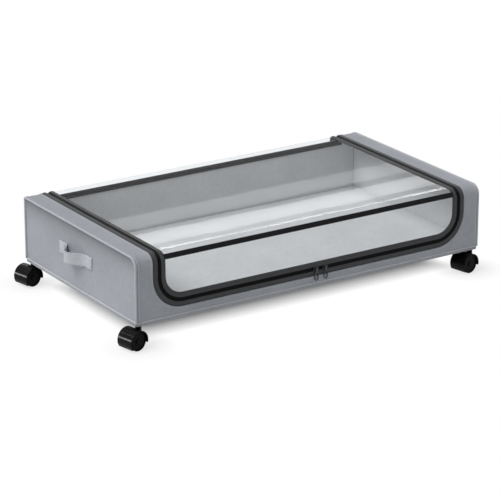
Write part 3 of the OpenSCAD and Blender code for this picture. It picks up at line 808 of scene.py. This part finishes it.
def wrap_cut(u0, u1):
    """Flat cut of the cover between two girths, with the zip's opening cut out. Returns it with its area."""
    edge = ZIP_X + ZIP_W
    foot = ZIP_Z - ZIP_W
    turn = sizes().zip_corner + ZIP_W
    rear = on_back(low("rear_binding").z + 0.004)
    half = [END_IN - d for d in SEAM_SCORES] + [edge, edge + RIM, edge - turn]
    x_cuts = [side * x for side in SIDES.values() for x in half] + spaced(turn - edge, edge - turn, 0.06)
    u_cuts = [FOOT + d for d in HEM_SCORES] + [on_back(FOOT) - d for d in HEM_SCORES] + bends()
    u_cuts += [foot, foot - RIM, foot + turn, rear, rear + RIM]
    u_cuts += spaced(U_TOP, U_REAR, 0.04) + spaced(rear, on_back(FOOT), 0.02)
    bm = flat_sheet(-END_IN - LAP, END_IN + LAP, u0, u1, x_cuts, u_cuts)

    # The two lower corners of the opening are scored round, with short straight cuts.
    ways = [Vector((math.sin(angle), -math.cos(angle), 0)) for angle in corner_turns(12)]
    for side in SIDES.values():
        mirror = Vector((side, 1, 1))
        centre = Vector((edge - turn, foot + turn, 0))
        for way in ways:
            spots = [(face, face.calc_center_median() * mirror) for face in bm.faces]
            corner = [f for f, spot in spots if edge - turn < spot.x < edge and foot < spot.y < foot + turn]
            cut(bm, (centre + way * turn) * mirror, way * mirror, corner)

    def opened(face):
        x, u, height = face.calc_center_median()
        if abs(x) > edge or u < foot or u > rear:
            return False
        if abs(x) < edge - turn or u > foot + turn:
            return True
        inward = Vector((abs(x) - edge + turn, u - foot - turn, 0))
        return all(inward.dot(way) < turn for way in ways)

    bmesh.ops.delete(bm, geom=[face for face in bm.faces if opened(face)], context="FACES")
    bmesh.ops.remove_doubles(bm, verts=bm.verts, dist=WELD)
    return bm, area_of(bm)


def welt(inside):
    """Height of the fabric at a distance from an end piping: pulled into the seam, then rolled up beside it."""
    groove = 1 - ease((inside - 0.0010) / 0.0014)
    rise = ease((inside - 0.0020) / 0.0008) * (1 - ease((inside - 0.0032) / 0.0030))
    return 0.0011 * rise - 0.0018 * groove


def drape_wrap(bm):
    """Gives the cut its thickness and rolls it over the box: drawn down at the seams, a little slack between."""
    thicken(bm, sizes().fabric)
    sharp = sharp_edges(bm, math.degrees(1.2))
    rim = [edge for edge in sharp if all(abs(vert.co.z) < NEAR for vert in edge.verts)]
    soften(bm, rim, 0.0007)
    mark_cut(bm)
    for vert in bm.verts:
        x, u, height = vert.co
        inside = END_IN - abs(x)
        hem = max(1 - ease((u - FOOT) / HEM_FADE), 1 - ease((on_back(FOOT) - u) / HEM_FADE))
        seam = max(1 - ease(inside / 0.012), hem)
        slack = SLACK * math.sin(x * 23 + 1.3) * math.sin(u * 31 + 0.4)
        raised = welt(inside) * max(0.0, 1 + height / sizes().fabric)
        vert.co.z = height + raised - 0.0009 * hem + slack * (1 - seam)
    roll(bm)


def make_cover_wrap():
    """Front frame and top borders, one narrow strip of fabric mitred round the opening, and the back wall."""
    bm, area = wrap_cut(FOOT, U_BACK)
    drape_wrap(bm)
    nodes = ("front_panel", "left_border", "right_border")
    front = piece("cover_front_and_borders", bm, "cover_weave", nodes)
    bm = zip_band([(ZIP_W + offset, height) for offset, height in in_metres(HEM)], U_BACK)
    mark_cut(bm)
    roll(bm)
    hem = piece("cover_zip_hem", bm, "cover_weave")
    bm, area = wrap_cut(U_BACK, on_back(FOOT))
    drape_wrap(bm)
    back = piece("cover_back", bm, "cover_weave", ("back_panel",))


def make_end_panels():
    """The two end panels: fabric over a board, tucked in behind the piping."""
    y0, y1 = -HALF_D + END_TUCK, HALF_D - END_TUCK
    z0, z1 = BASE_PIPE_Z + 0.0005, TOP - END_TUCK
    centre = Vector((-HALF_D + SHOULDER_R, SHOULDER_Z, 0))
    turn = SHOULDER_R - END_TUCK

    def scores(start, end, gap):
        inner = END_SCORES[-1]
        edges = [start + d for d in END_SCORES] + [end - d for d in END_SCORES]
        return edges + spaced(start + inner, end - inner, gap)

    for name, side in SIDES.items():
        bm = flat_sheet(y0, y1, z0, z1, scores(y0, y1, 0.03), scores(z0, z1, 0.02))
        round_corner(bm, centre, turn, -1, 1)
        area = area_of(bm)
        mark_cut(bm)
        thicken(bm, 0.0008)
        for vert in bm.verts:
            y, z, height = vert.co
            near = min(y - y0, y1 - y, z - z0, z1 - z)
            if y < centre.x and z > centre.y:
                near = min(near, turn - (Vector((y, z, 0)) - centre).length)
            slack = SLACK * math.sin(y * 21 + side) * math.sin(z * 47 + 0.7) * ease(near / 0.03)
            vert.co = (side * (END_OUT - sizes().set_back + slack + height), y, z)
        # Their finish darkens the cloth below the top seam: a painted shade.
        panel = piece(f"{name}_end_cover", bm, "end_weave", (f"{name}_end_panel",))


def make_bottom_cover():
    """Fabric tray under the base: floor, folded edge and the low wall up to the base seam."""
    bm = flat_sheet(-HALF_L + LAP, HALF_L - LAP, -HALF_D + LAP, HALF_D - LAP)
    bmesh.ops.bevel(bm, geom=bm.verts[:], offset=BASE_CORNER, affect="VERTICES", segments=5, profile=0.5,
                    material=-1)
    rise = BASE_PIPE_Z - RIDE
    bmesh.ops.extrude_edge_only(bm, edges=bm.edges[:])
    floor = max(bm.faces, key=lambda face: len(face.verts))
    bmesh.ops.translate(bm, vec=(0, 0, -rise), verts=floor.verts[:])
    area = area_of(bm)
    soften(bm, floor.edges[:], 0.0016, 3)
    floor = max(bm.faces, key=lambda face: len(face.verts))
    bmesh.ops.inset_region(bm, faces=[floor], thickness=0.002, depth=0.0)
    bmesh.ops.translate(bm, vec=(0, 0, RIDE + rise), verts=bm.verts)
    bmesh.ops.recalc_face_normals(bm, faces=bm.faces)
    if max(bm.faces, key=lambda face: face.calc_area()).normal.z > 0:
        bmesh.ops.reverse_faces(bm, faces=bm.faces)
    mark_cut(bm)
    bmesh.ops.solidify(bm, geom=bm.faces[:], thickness=0.0012)
    tray = piece("bottom_cover_tray", bm, "cover_weave", ("bottom_cover",))


def make_piping():
    """Light piping round each end panel, with a thin edging cord beside it, and round the base seam."""
    foot = FOOT - 0.002
    piping, edging = (HALF_L - PIPE_R, PIPE_R, PIPE_R * 1.3), (END_IN - 0.0034, -0.0003, 0.0009)
    for name, side in SIDES.items():
        bm = bmesh.new()
        for out, deep, radius in (piping, edging):
            x = side * out
            start = round_outline(bm, radius, 16, Matrix.Translation((x, -HALF_D + deep, foot)))
            sweep(bm, start, [
                Vector((0, 0, SHOULDER_Z - foot)),
                ((x, -HALF_D + SHOULDER_R, SHOULDER_Z), -QUARTER, 14),
                Vector((0, 2 * HALF_D - SHOULDER_R - REAR_R, 0)),
                ((x, HALF_D - REAR_R, TOP - REAR_R), -QUARTER, 8),
                Vector((0, 0, foot - TOP + REAR_R)),
            ], axis=(1, 0, 0))
        close_ends(bm)
        piece(f"{name}_piping_cord", bm, "piping_cord", (f"{name}_piping",))

    bm = bmesh.new()
    reach_x, reach_y = HALF_L - BASE_CORNER, HALF_D - BASE_CORNER
    at = Matrix.Translation((-reach_x, -HALF_D + BASE_PIPE_R, BASE_PIPE_Z))
    start = round_outline(bm, BASE_PIPE_R, 12, at @ Matrix.Rotation(QUARTER, 4, "Y"))
    moves = []
    for x, y in ((1, -1), (1, 1), (-1, 1), (-1, -1)):
        way = Vector((2 * reach_x * x, 0, 0)) if x == -y else Vector((0, 2 * reach_y * y, 0))
        moves += [way, ((x * reach_x, y * reach_y, BASE_PIPE_Z), QUARTER, 6)]
    sweep(bm, start, moves)
    piece("base_piping_cord", bm, "seam_cord", ("base_piping",))


# ---- Lined boards and frame

def make_boards():
    """Stiffener boards, wrapped in the pale lining."""
    for node in ("base_board", "back_board", "front_board", "left_border_board", "right_border_board",
                 "left_end_board", "right_end_board"):
        bm = bmesh.new()
        block(bm, low(node), high(node))
        if node.endswith("end_board"):
            nose = [e for e in bm.edges if all(v.co.y < 0 and v.co.z > SHOULDER_Z for v in e.verts)]
            soften(bm, nose, SHOULDER_R - (low(node).y + HALF_D), 8)
        soften(bm, sharp_edges(bm), 0.0008 if node != "base_board" else 0.0015, 3)
        mark_cut(bm)
        piece(f"{node}_lined", bm, "bonded_lining", (node,))


def dress_frame():
    """Finishes of the tubes, corner sockets and stems that stay as they are."""
    dress("plated_steel", "front_rail", "rear_rail", "left_rail", "right_rail")
    dress("socket_black", "corner_sockets")
    dress("stem_black", "caster_stems")


# ---- Handles

def strap_path():
    """Points along a handle from its front end to its rear end, as (length so far, y, stand-off)."""
    tab, bow = sizes().tab, sizes().bow
    y0, y1 = STRAP[0].y, STRAP[1].y
    points, run, steps = [], 0.0, 320
    for i in range(steps + 1):
        y = y0 + (y1 - y0) * i / steps
        t = (y - y0 - tab) / (y1 - y0 - 2 * tab)
        off = bow * 0.5 * (1 - math.cos(2 * math.pi * t)) if 0 < t < 1 else 0.0
        if points:
            run += math.hypot(y - points[-1][1], off - points[-1][2])
        points.append((run, y, off))
    return points


def on_strap(points, s):
    """Place and outward direction on a handle, as (stand-off, y), at a length along it."""
    i = next((k for k in range(1, len(points)) if points[k][0] >= s), len(points) - 1)
    (s0, y0, x0), (s1, y1, x1) = points[i - 1], points[i]
    t = (s - s0) / (s1 - s0)
    way = Vector((x1 - x0, y1 - y0)).normalized()
    return Vector((x0 + (x1 - x0) * t, y0 + (y1 - y0) * t)), Vector((way.y, -way.x))


def lay_strap(bm, path, side):
    """Bends a flat piece of a handle, laid as (length, across, height), along its bow at one end of the box."""
    middle = (STRAP[0].z + STRAP[1].z) / 2
    for vert in bm.verts:
        s, across, height = vert.co
        spot, away = on_strap(path, min(max(s, WELD), path[-1][0] - WELD))
        spot = spot + away * height
        vert.co = (side * (END_OUT - sizes().set_back + 0.0002 + spot.x), spot.y, middle + across)


def strap_stitches(total, half):
    """Places of a handle's stitches: a crossed box on each tab, and a row along both edges between them."""
    tab, gap, inset = sizes().tab, 0.0036, 0.003
    places = []
    for start in (0.0, total - tab):
        a, b, w = start + inset, start + tab - inset, half - inset
        corners = [Vector(spot) for spot in ((a, -w, 0), (b, -w, 0), (b, w, 0), (a, w, 0))]
        for i, j in ((0, 1), (1, 2), (2, 3), (3, 0), (0, 2), (3, 1)):
            way = corners[j] - corners[i]
            count = round(way.length / gap)
            spots = [corners[i] + way * (k + 0.5) / count for k in range(count)]
            places += [(*spot.xy, 2 * STRAP_THICK - 0.0001, math.atan2(way.y, way.x)) for spot in spots]
    for row in (-half + 0.0028, half - 0.0028):
        places += [(s, row, STRAP_THICK + 0.0001, 0.0) for s in spaced(tab + 0.002, total - tab - 0.002, gap)]
    return places


def make_handles():
    """Webbing handles: flat strap laid along its bow, with a doubled tab at each end and rows of stitching."""
    path = strap_path()
    total, tab = path[-1][0], sizes().tab
    half = (STRAP[1].z - STRAP[0].z) / 2
    selvedge, margin, sunk = 0.003, 0.0006, 0.0002
    for name, side in SIDES.items():
        scores = [tab * 0.9, tab, total - tab, total - tab * 0.9] + spaced(tab, total - tab, 0.0025)
        bm = flat_sheet(0, total, -half, half, scores, [selvedge - half, half - selvedge])
        mark_cut(bm)
        thicken(bm, STRAP_THICK)
        bmesh.ops.translate(bm, vec=(0, 0, STRAP_THICK), verts=bm.verts)
        for start in (LAP, total - tab + LAP):
            fold = block(bm, (start, margin - half, STRAP_THICK - sunk),
                         (start + tab - 2 * LAP, half - margin, 2 * STRAP_THICK - sunk))
            soften(bm, edges_at(fold), 0.0006)
        rims = [edge for edge in sharp_edges(bm, 60)
                if all(abs(abs(vert.co.y) - half) < NEAR for vert in edge.verts)
                and abs(edge.verts[0].co.x - edge.verts[1].co.x) > NEAR]
        soften(bm, rims, 0.0005)
        lay_strap(bm, path, side)
        piece(f"{name}_strap", bm, "strap_webbing", (f"{name}_handle",))
        bm = bmesh.new()
        set_beads(bm, strap_stitches(total, half), 0.0028, 0.0008, 0.0008)
        lay_strap(bm, path, side)
        piece(f"{name}_strap_stitching", bm, "pale_thread")


# ---- Zip, lid and window

def make_box_zip():
    """Zip half that is sewn to the box."""
    u_end = on_back(REAR_SEAM - 0.004)
    tapes = ("left_zip_tape", "front_zip_tape", "right_zip_tape")
    zip_half("box", "box", 1, lambda part: zip_band(part, u_end), (0.0, u_end), (0.0, u_end), tapes,
             "box_zip_coil")


def film_sheet(x_half, u0, u1, sag, corner=None):
    """Clear film in the flat, under the tapes, with a slight sag. The window's lower corners are rounded.
    A score beside the shoulder keeps the top flat up to it."""
    u_cuts = bends() + [U_TOP + 0.001] + spaced(U_TOP, U_REAR, 0.03) + spaced(u0, min(u1, U_SHOULDER), 0.02)
    bm = flat_sheet(-x_half, x_half, u0, u1, spaced(-x_half, x_half, 0.05), u_cuts)
    if corner:
        for side in SIDES.values():
            round_corner(bm, Vector((side * (x_half - corner), u0 + corner, 0)), corner, side, -1)
    area = area_of(bm)
    mark_cut(bm)
    thicken(bm, FILM_THICK)
    for vert in bm.verts:
        x, u, height = vert.co
        across = 1 - (x / x_half) ** 2
        along = math.sin(math.pi * min(1, max(0, (u - U_TOP) / (U_REAR - U_TOP))))
        ripple = 0.00002 * math.sin(x * 19 + 2.0) * math.sin(u * 27 + 0.6)
        vert.co.z = height - FILM_DEPTH - across * along * sag + ripple * across
    roll(bm)
    return bm, area


def make_lid():
    """Clear top with its zip half. Its rear edge stays in the rear binding."""
    u_fold = on_shoulder(sizes().fold)
    u_seam = on_back(REAR_SEAM)
    inner = ZIP_X - ZIP_W
    bm, area = film_sheet(inner + FILM_TUCK, u_fold, u_seam + FILM_REAR, 0.0001)
    film = piece("lid_clear_film", bm, "clear_sheet", ("lid_film",), body=None)
    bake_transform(film)
    zip_half("lid", "lid", -1, lambda part: straight_band(part, u_fold, u_seam - 0.0004),
             (u_fold + 0.0005, u_seam - 0.0012), (u_fold + 0.002, u_seam - 0.002),
             ("left_lid_tape", "right_lid_tape"), "lid_zip_coil")


def make_window():
    """Clear front window with its zip half. It folds up on the shoulder under the front binding."""
    u_fold = on_shoulder(sizes().fold)
    u_low = on_shoulder(sizes().binding_end)
    inner = ZIP_X - ZIP_W
    corner = sizes().zip_corner - ZIP_W + FILM_TUCK
    bm, area = film_sheet(inner + FILM_TUCK, ZIP_Z + ZIP_W - FILM_TUCK, u_low + FILM_TUCK, 0.0, corner)
    film = piece("window_clear_film", bm, "clear_sheet", ("flap_film",), body="flap")
    zip_half("window", "flap", -1, lambda part: zip_band(part, u_fold - 0.0003),
             (0.0, u_fold - 0.0005), (0.0, u_fold - 0.002), ("flap_zip_tape",), "flap_zip_coil")


def make_bindings():
    """Dark tape over the rear seam of the clear sheet and over its fold on the shoulder."""
    top, bottom = on_back(high("rear_binding").z), on_back(low("rear_binding").z)
    deep = HALF_D - low("rear_binding").y
    outer, inner = 0.0001 - HALF_D + high("back_board").y, low("back_board").y - HALF_D - 0.0001
    wide = bottom - top
    section = [
        (wide, outer), (wide, 0.0002), (wide - 0.0007, 0.00075), (wide - 0.003, 0.00095), (0.003, 0.00095),
        (0.0008, 0.0006), (0.0, -0.0004), (0.0, 0.0010 - deep), (0.0006, 0.0002 - deep), (0.003, -deep),
        (wide - 0.0007, 0.0001 - deep), (wide, 0.0006 - deep), (wide, inner), (0.0016, inner), (0.0016, outer),
    ]
    bm = cross_band([(top + d, height) for d, height in section], ZIP_X + ZIP_W)
    mark_cut(bm)
    roll(bm)
    piece("rear_binding_tape", bm, "binding_grosgrain", ("rear_binding",))
    gap = sizes().stitch_gap
    rows = [(x, u, 0.0) for u in (top + 0.0022, bottom - 0.0022) for x in spaced(-ZIP_X, ZIP_X, gap)]
    bm = sewn_row(rows, 0.0010)
    set_beads(bm, [(x, u, -deep, heading) for x, u, heading in rows], sizes().stitch, THREAD, THREAD)
    roll(bm)
    piece("rear_binding_stitching", bm, "dark_thread")

    fold, half = sizes().fold, ZIP_X - ZIP_W
    u_up, u_low = on_shoulder(fold - math.radians(3)), on_shoulder(sizes().binding_end)
    wide = u_up - u_low
    section = [(0, -0.0016), (0, 0.0001), (0.0009, 0.00055), (wide * 0.3, 0.0007), (wide * 0.7, 0.0007),
               (wide - 0.0009, 0.00055), (wide, 0.0001), (wide, -0.0016)]
    bm = cross_band([(u_low + d, height) for d, height in section], half + 0.003)
    score(bm, bends(), u_low, u_up)
    mark_cut(bm)
    roll(bm)
    tape = piece("front_binding_tape", bm, "binding_grosgrain", ("front_binding",), body=None)
    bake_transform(tape)
    bm = sewn_row([(x, u_low + 0.0018, 0.0) for x in spaced(-half, half, gap)], 0.0007)
    roll(bm)
    piece("front_binding_stitching", bm, "dark_thread", body="flap")


def dress_sliders():
    """Finish of the sliders and their pulls."""
    for side in SIDES:
        dress("slider_gunmetal", f"{side}_slider", f"{side}_pull")


def dress_casters():
    """Finishes of the hoods, wheels and axles."""
    for caster in CASTERS:
        dress("hood_gloss", f"{caster}_hood")
        dress("wheel_black", f"{caster}_outer_wheel", f"{caster}_inner_wheel")
        dress("plated_steel", f"{caster}_axle")


# ---- Stage

def seen_rays(nodes):
    """Mask of the rays that show the background: camera, glossy and transmission, before cloth scatters light."""
    rays = nodes.new("ShaderNodeLightPath").outputs
    either = maths("MAXIMUM", rays["Is Camera Ray"], rays["Is Glossy Ray"])
    either = maths("MAXIMUM", either, rays["Is Transmission Ray"])
    return times(either, maths("LESS_THAN", rays["Diffuse Depth"], 0.5))


def make_floor():
    """Pale floor that is seen white, with the box's shade under it, darkest in the middle and at the casters.
    The shade is partly the box's real shadow and partly painted: a mask keeps the white off the floor
    under the box and round the casters, so it is greyer there even where light falls.
    """
    bm = bmesh.new()
    bmesh.ops.create_grid(bm, x_segments=8, y_segments=8, size=14)
    floor = stand("studio_floor", to_mesh("studio_floor", bm))
    shader, spot = new_finish("studio_floor")
    nodes = shader.id_data.nodes
    wire(shader, Base_Color=(0.9, 0.9, 0.9, 1), Roughness=0.95, Specular_IOR_Level=0.0)
    x, y = [maths("ABSOLUTE", axis) for axis in axes(spot)[:2]]
    in_x, in_y = times(x, -1.5, HALF_L * 1.5), maths("SUBTRACT", HALF_D, y)
    inside = maths("SMOOTH_MIN", in_x, in_y, 0.05)
    from_x, from_y = [maths("SUBTRACT", axis, reach - 0.012) for axis, reach in ((x, HALF_L), (y, HALF_D))]
    caster = maths("SQRT", times(from_x, from_x, times(from_y, from_y)))
    # Painted shade on top of the real shadow: the white is held back under the box and down to 72 % round the
    # casters.
    away = times(ramp(caster, 0.02, 0.08, 0.72, 1.0), ramp(inside, 0.038, 0.115, 1.0, 0.04))
    glow = wire(nodes.new("ShaderNodeEmission"), (1, 1, 1, 1))
    show_either(times(seen_rays(nodes), away), shader, glow)
    floor.data.materials.append(bpy.data.materials["studio_floor"])


def make_world():
    """Soft light from all round; white where it is seen."""
    world = bpy.data.worlds.new("studio")
    bpy.context.scene.world = world
    world.use_nodes = True
    nodes = world.node_tree.nodes
    wire(nodes["Background"], (1, 1, 1, 1), ramp(seen_rays(nodes), 0.0, 1.0, 0.24, 1.0))


def make_lamp(name, kind, direction, energy, **settings):
    """A lamp that shines along a direction."""
    data = bpy.data.lights.new(name, kind)
    data.energy = energy
    for key, value in settings.items():
        setattr(data, key, value)
    lamp = stand(name, data)
    lamp.rotation_euler = Vector(direction).to_track_quat("-Z", "Y").to_euler()
    return lamp


def make_strip(name, spot, direction, energy, width, height):
    """A bright strip that shows only as a reflection."""
    lamp = make_lamp(name, "AREA", direction, energy, shape="RECTANGLE", size=width, size_y=height)
    lamp.location = spot
    lamp.visible_camera = lamp.visible_diffuse = False


def make_lights():
    """One large soft key from the upper left, and bright strips that show only as reflections: in the clear
    sheet those behind the box, and on the casters those far behind at the left."""
    make_lamp("key", "SUN", (0.52, -0.06, -0.85), 2.05, angle=math.radians(50))
    for name, z0, z1, energy in (("strip_wide", 0.886, 0.925, 1.5), ("strip_soft", 0.827, 0.867, 0.8),
                                 ("strip_fine", 0.941, 0.951, 1.1)):
        make_strip(name, (1.2, 1.6, (z0 + z1) / 2), (0, -1, 0), energy, 2.4, z1 - z0)
    for name, height, tall in (("glint_low", 0.9, 0.9), ("glint_high", 7.2, 0.8)):
        make_strip(name, (-7.0, 4.1, height), (7.0, -4.1, -height), 420.0, 4.0, tall)


def make_camera():
    """Camera at the photograph's viewing angle."""
    data = bpy.data.cameras.new("camera")
    data.sensor_width = 36
    data.lens = 186.5
    camera = stand("camera", data)
    camera.location = (-2.8264, -4.3577, 1.9251)
    camera.rotation_euler = Vector((0.511, 0.790, -0.338)).to_track_quat("-Z", "Y").to_euler()
    bpy.context.scene.camera = camera


# ---- Operators

class UnderBedStage(bpy.types.Operator):
    """Floor, world, lamps and camera"""

    bl_idname = "under_bed.stage"
    bl_label = "Stage"

    def execute(self, context):
        make_camera()
        make_floor()
        make_world()
        make_lights()
        return {"FINISHED"}


class UnderBedEffects(bpy.types.Operator):
    """Shared node groups of the finishes"""

    bl_idname = "under_bed.effects"
    bl_label = "Finish Effects"

    def execute(self, context):
        make_weave()
        make_rib()
        make_emboss()
        make_fibre()
        make_mottle()
        make_scuff()
        return {"FINISHED"}


class UnderBedCover(bpy.types.Operator):
    """Fabric cover: wrap, end panels and underside"""

    bl_idname = "under_bed.cover"
    bl_label = "Cover"

    def execute(self, context):
        make_cover_wrap()
        make_end_panels()
        make_bottom_cover()
        return {"FINISHED"}


class UnderBedPiping(bpy.types.Operator):
    """Piping round the ends and the base"""

    bl_idname = "under_bed.piping"
    bl_label = "Piping"

    def execute(self, context):
        make_piping()
        return {"FINISHED"}


class UnderBedBoards(bpy.types.Operator):
    """Lined boards and the base frame"""

    bl_idname = "under_bed.boards"
    bl_label = "Boards and Frame"

    def execute(self, context):
        make_boards()
        dress_frame()
        return {"FINISHED"}


class UnderBedHandles(bpy.types.Operator):
    """Webbing handles"""

    bl_idname = "under_bed.handles"
    bl_label = "Handles"

    def execute(self, context):
        make_handles()
        return {"FINISHED"}


class UnderBedZip(bpy.types.Operator):
    """Zip half on the box, with the sliders"""

    bl_idname = "under_bed.zip"
    bl_label = "Zip"

    def execute(self, context):
        make_box_zip()
        dress_sliders()
        return {"FINISHED"}


class UnderBedLid(bpy.types.Operator):
    """Clear top and clear window with their zip halves and bindings"""

    bl_idname = "under_bed.lid"
    bl_label = "Lid and Window"

    def execute(self, context):
        make_lid()
        make_window()
        make_bindings()
        return {"FINISHED"}


class UnderBedCasters(bpy.types.Operator):
    """Finishes of the casters"""

    bl_idname = "under_bed.casters"
    bl_label = "Casters"

    def execute(self, context):
        dress_casters()
        return {"FINISHED"}


STEPS = (UnderBedStage, UnderBedEffects, UnderBedCover, UnderBedPiping, UnderBedBoards, UnderBedHandles,
         UnderBedZip, UnderBedLid, UnderBedCasters)


class VIEW3D_PT_under_bed(bpy.types.Panel):
    """Steps, sizes and colours of the under bed box"""

    bl_label = "Under Bed Box"
    bl_space_type = "VIEW_3D"
    bl_region_type = "UI"
    bl_category = "Under Bed Box"

    def draw(self, context):
        for step in STEPS:
            self.layout.operator(step.bl_idname)
        for group in (context.scene.under_bed_sizes, context.scene.under_bed_colours):
            box = self.layout.box()
            for name in group.__annotations__:
                box.prop(group, name)


CLASSES = (UnderBedSizes, UnderBedColours) + STEPS + (VIEW3D_PT_under_bed,)


def register():
    for cls in CLASSES:
        bpy.utils.register_class(cls)
    bpy.types.Scene.under_bed_sizes = PointerProperty(type=UnderBedSizes)
    bpy.types.Scene.under_bed_colours = PointerProperty(type=UnderBedColours)


def unregister():
    del bpy.types.Scene.under_bed_colours
    del bpy.types.Scene.under_bed_sizes
    for cls in reversed(CLASSES):
        bpy.utils.unregister_class(cls)


def main():
    register()
    bpy.context.scene.view_settings.view_transform = "Standard"
    bpy.ops.under_bed.stage()
    bpy.ops.under_bed.effects()
    bpy.ops.under_bed.cover()
    bpy.ops.under_bed.piping()
    bpy.ops.under_bed.boards()
    bpy.ops.under_bed.handles()
    bpy.ops.under_bed.zip()
    bpy.ops.under_bed.lid()
    bpy.ops.under_bed.casters()


if __name__ == "__main__":
    main()
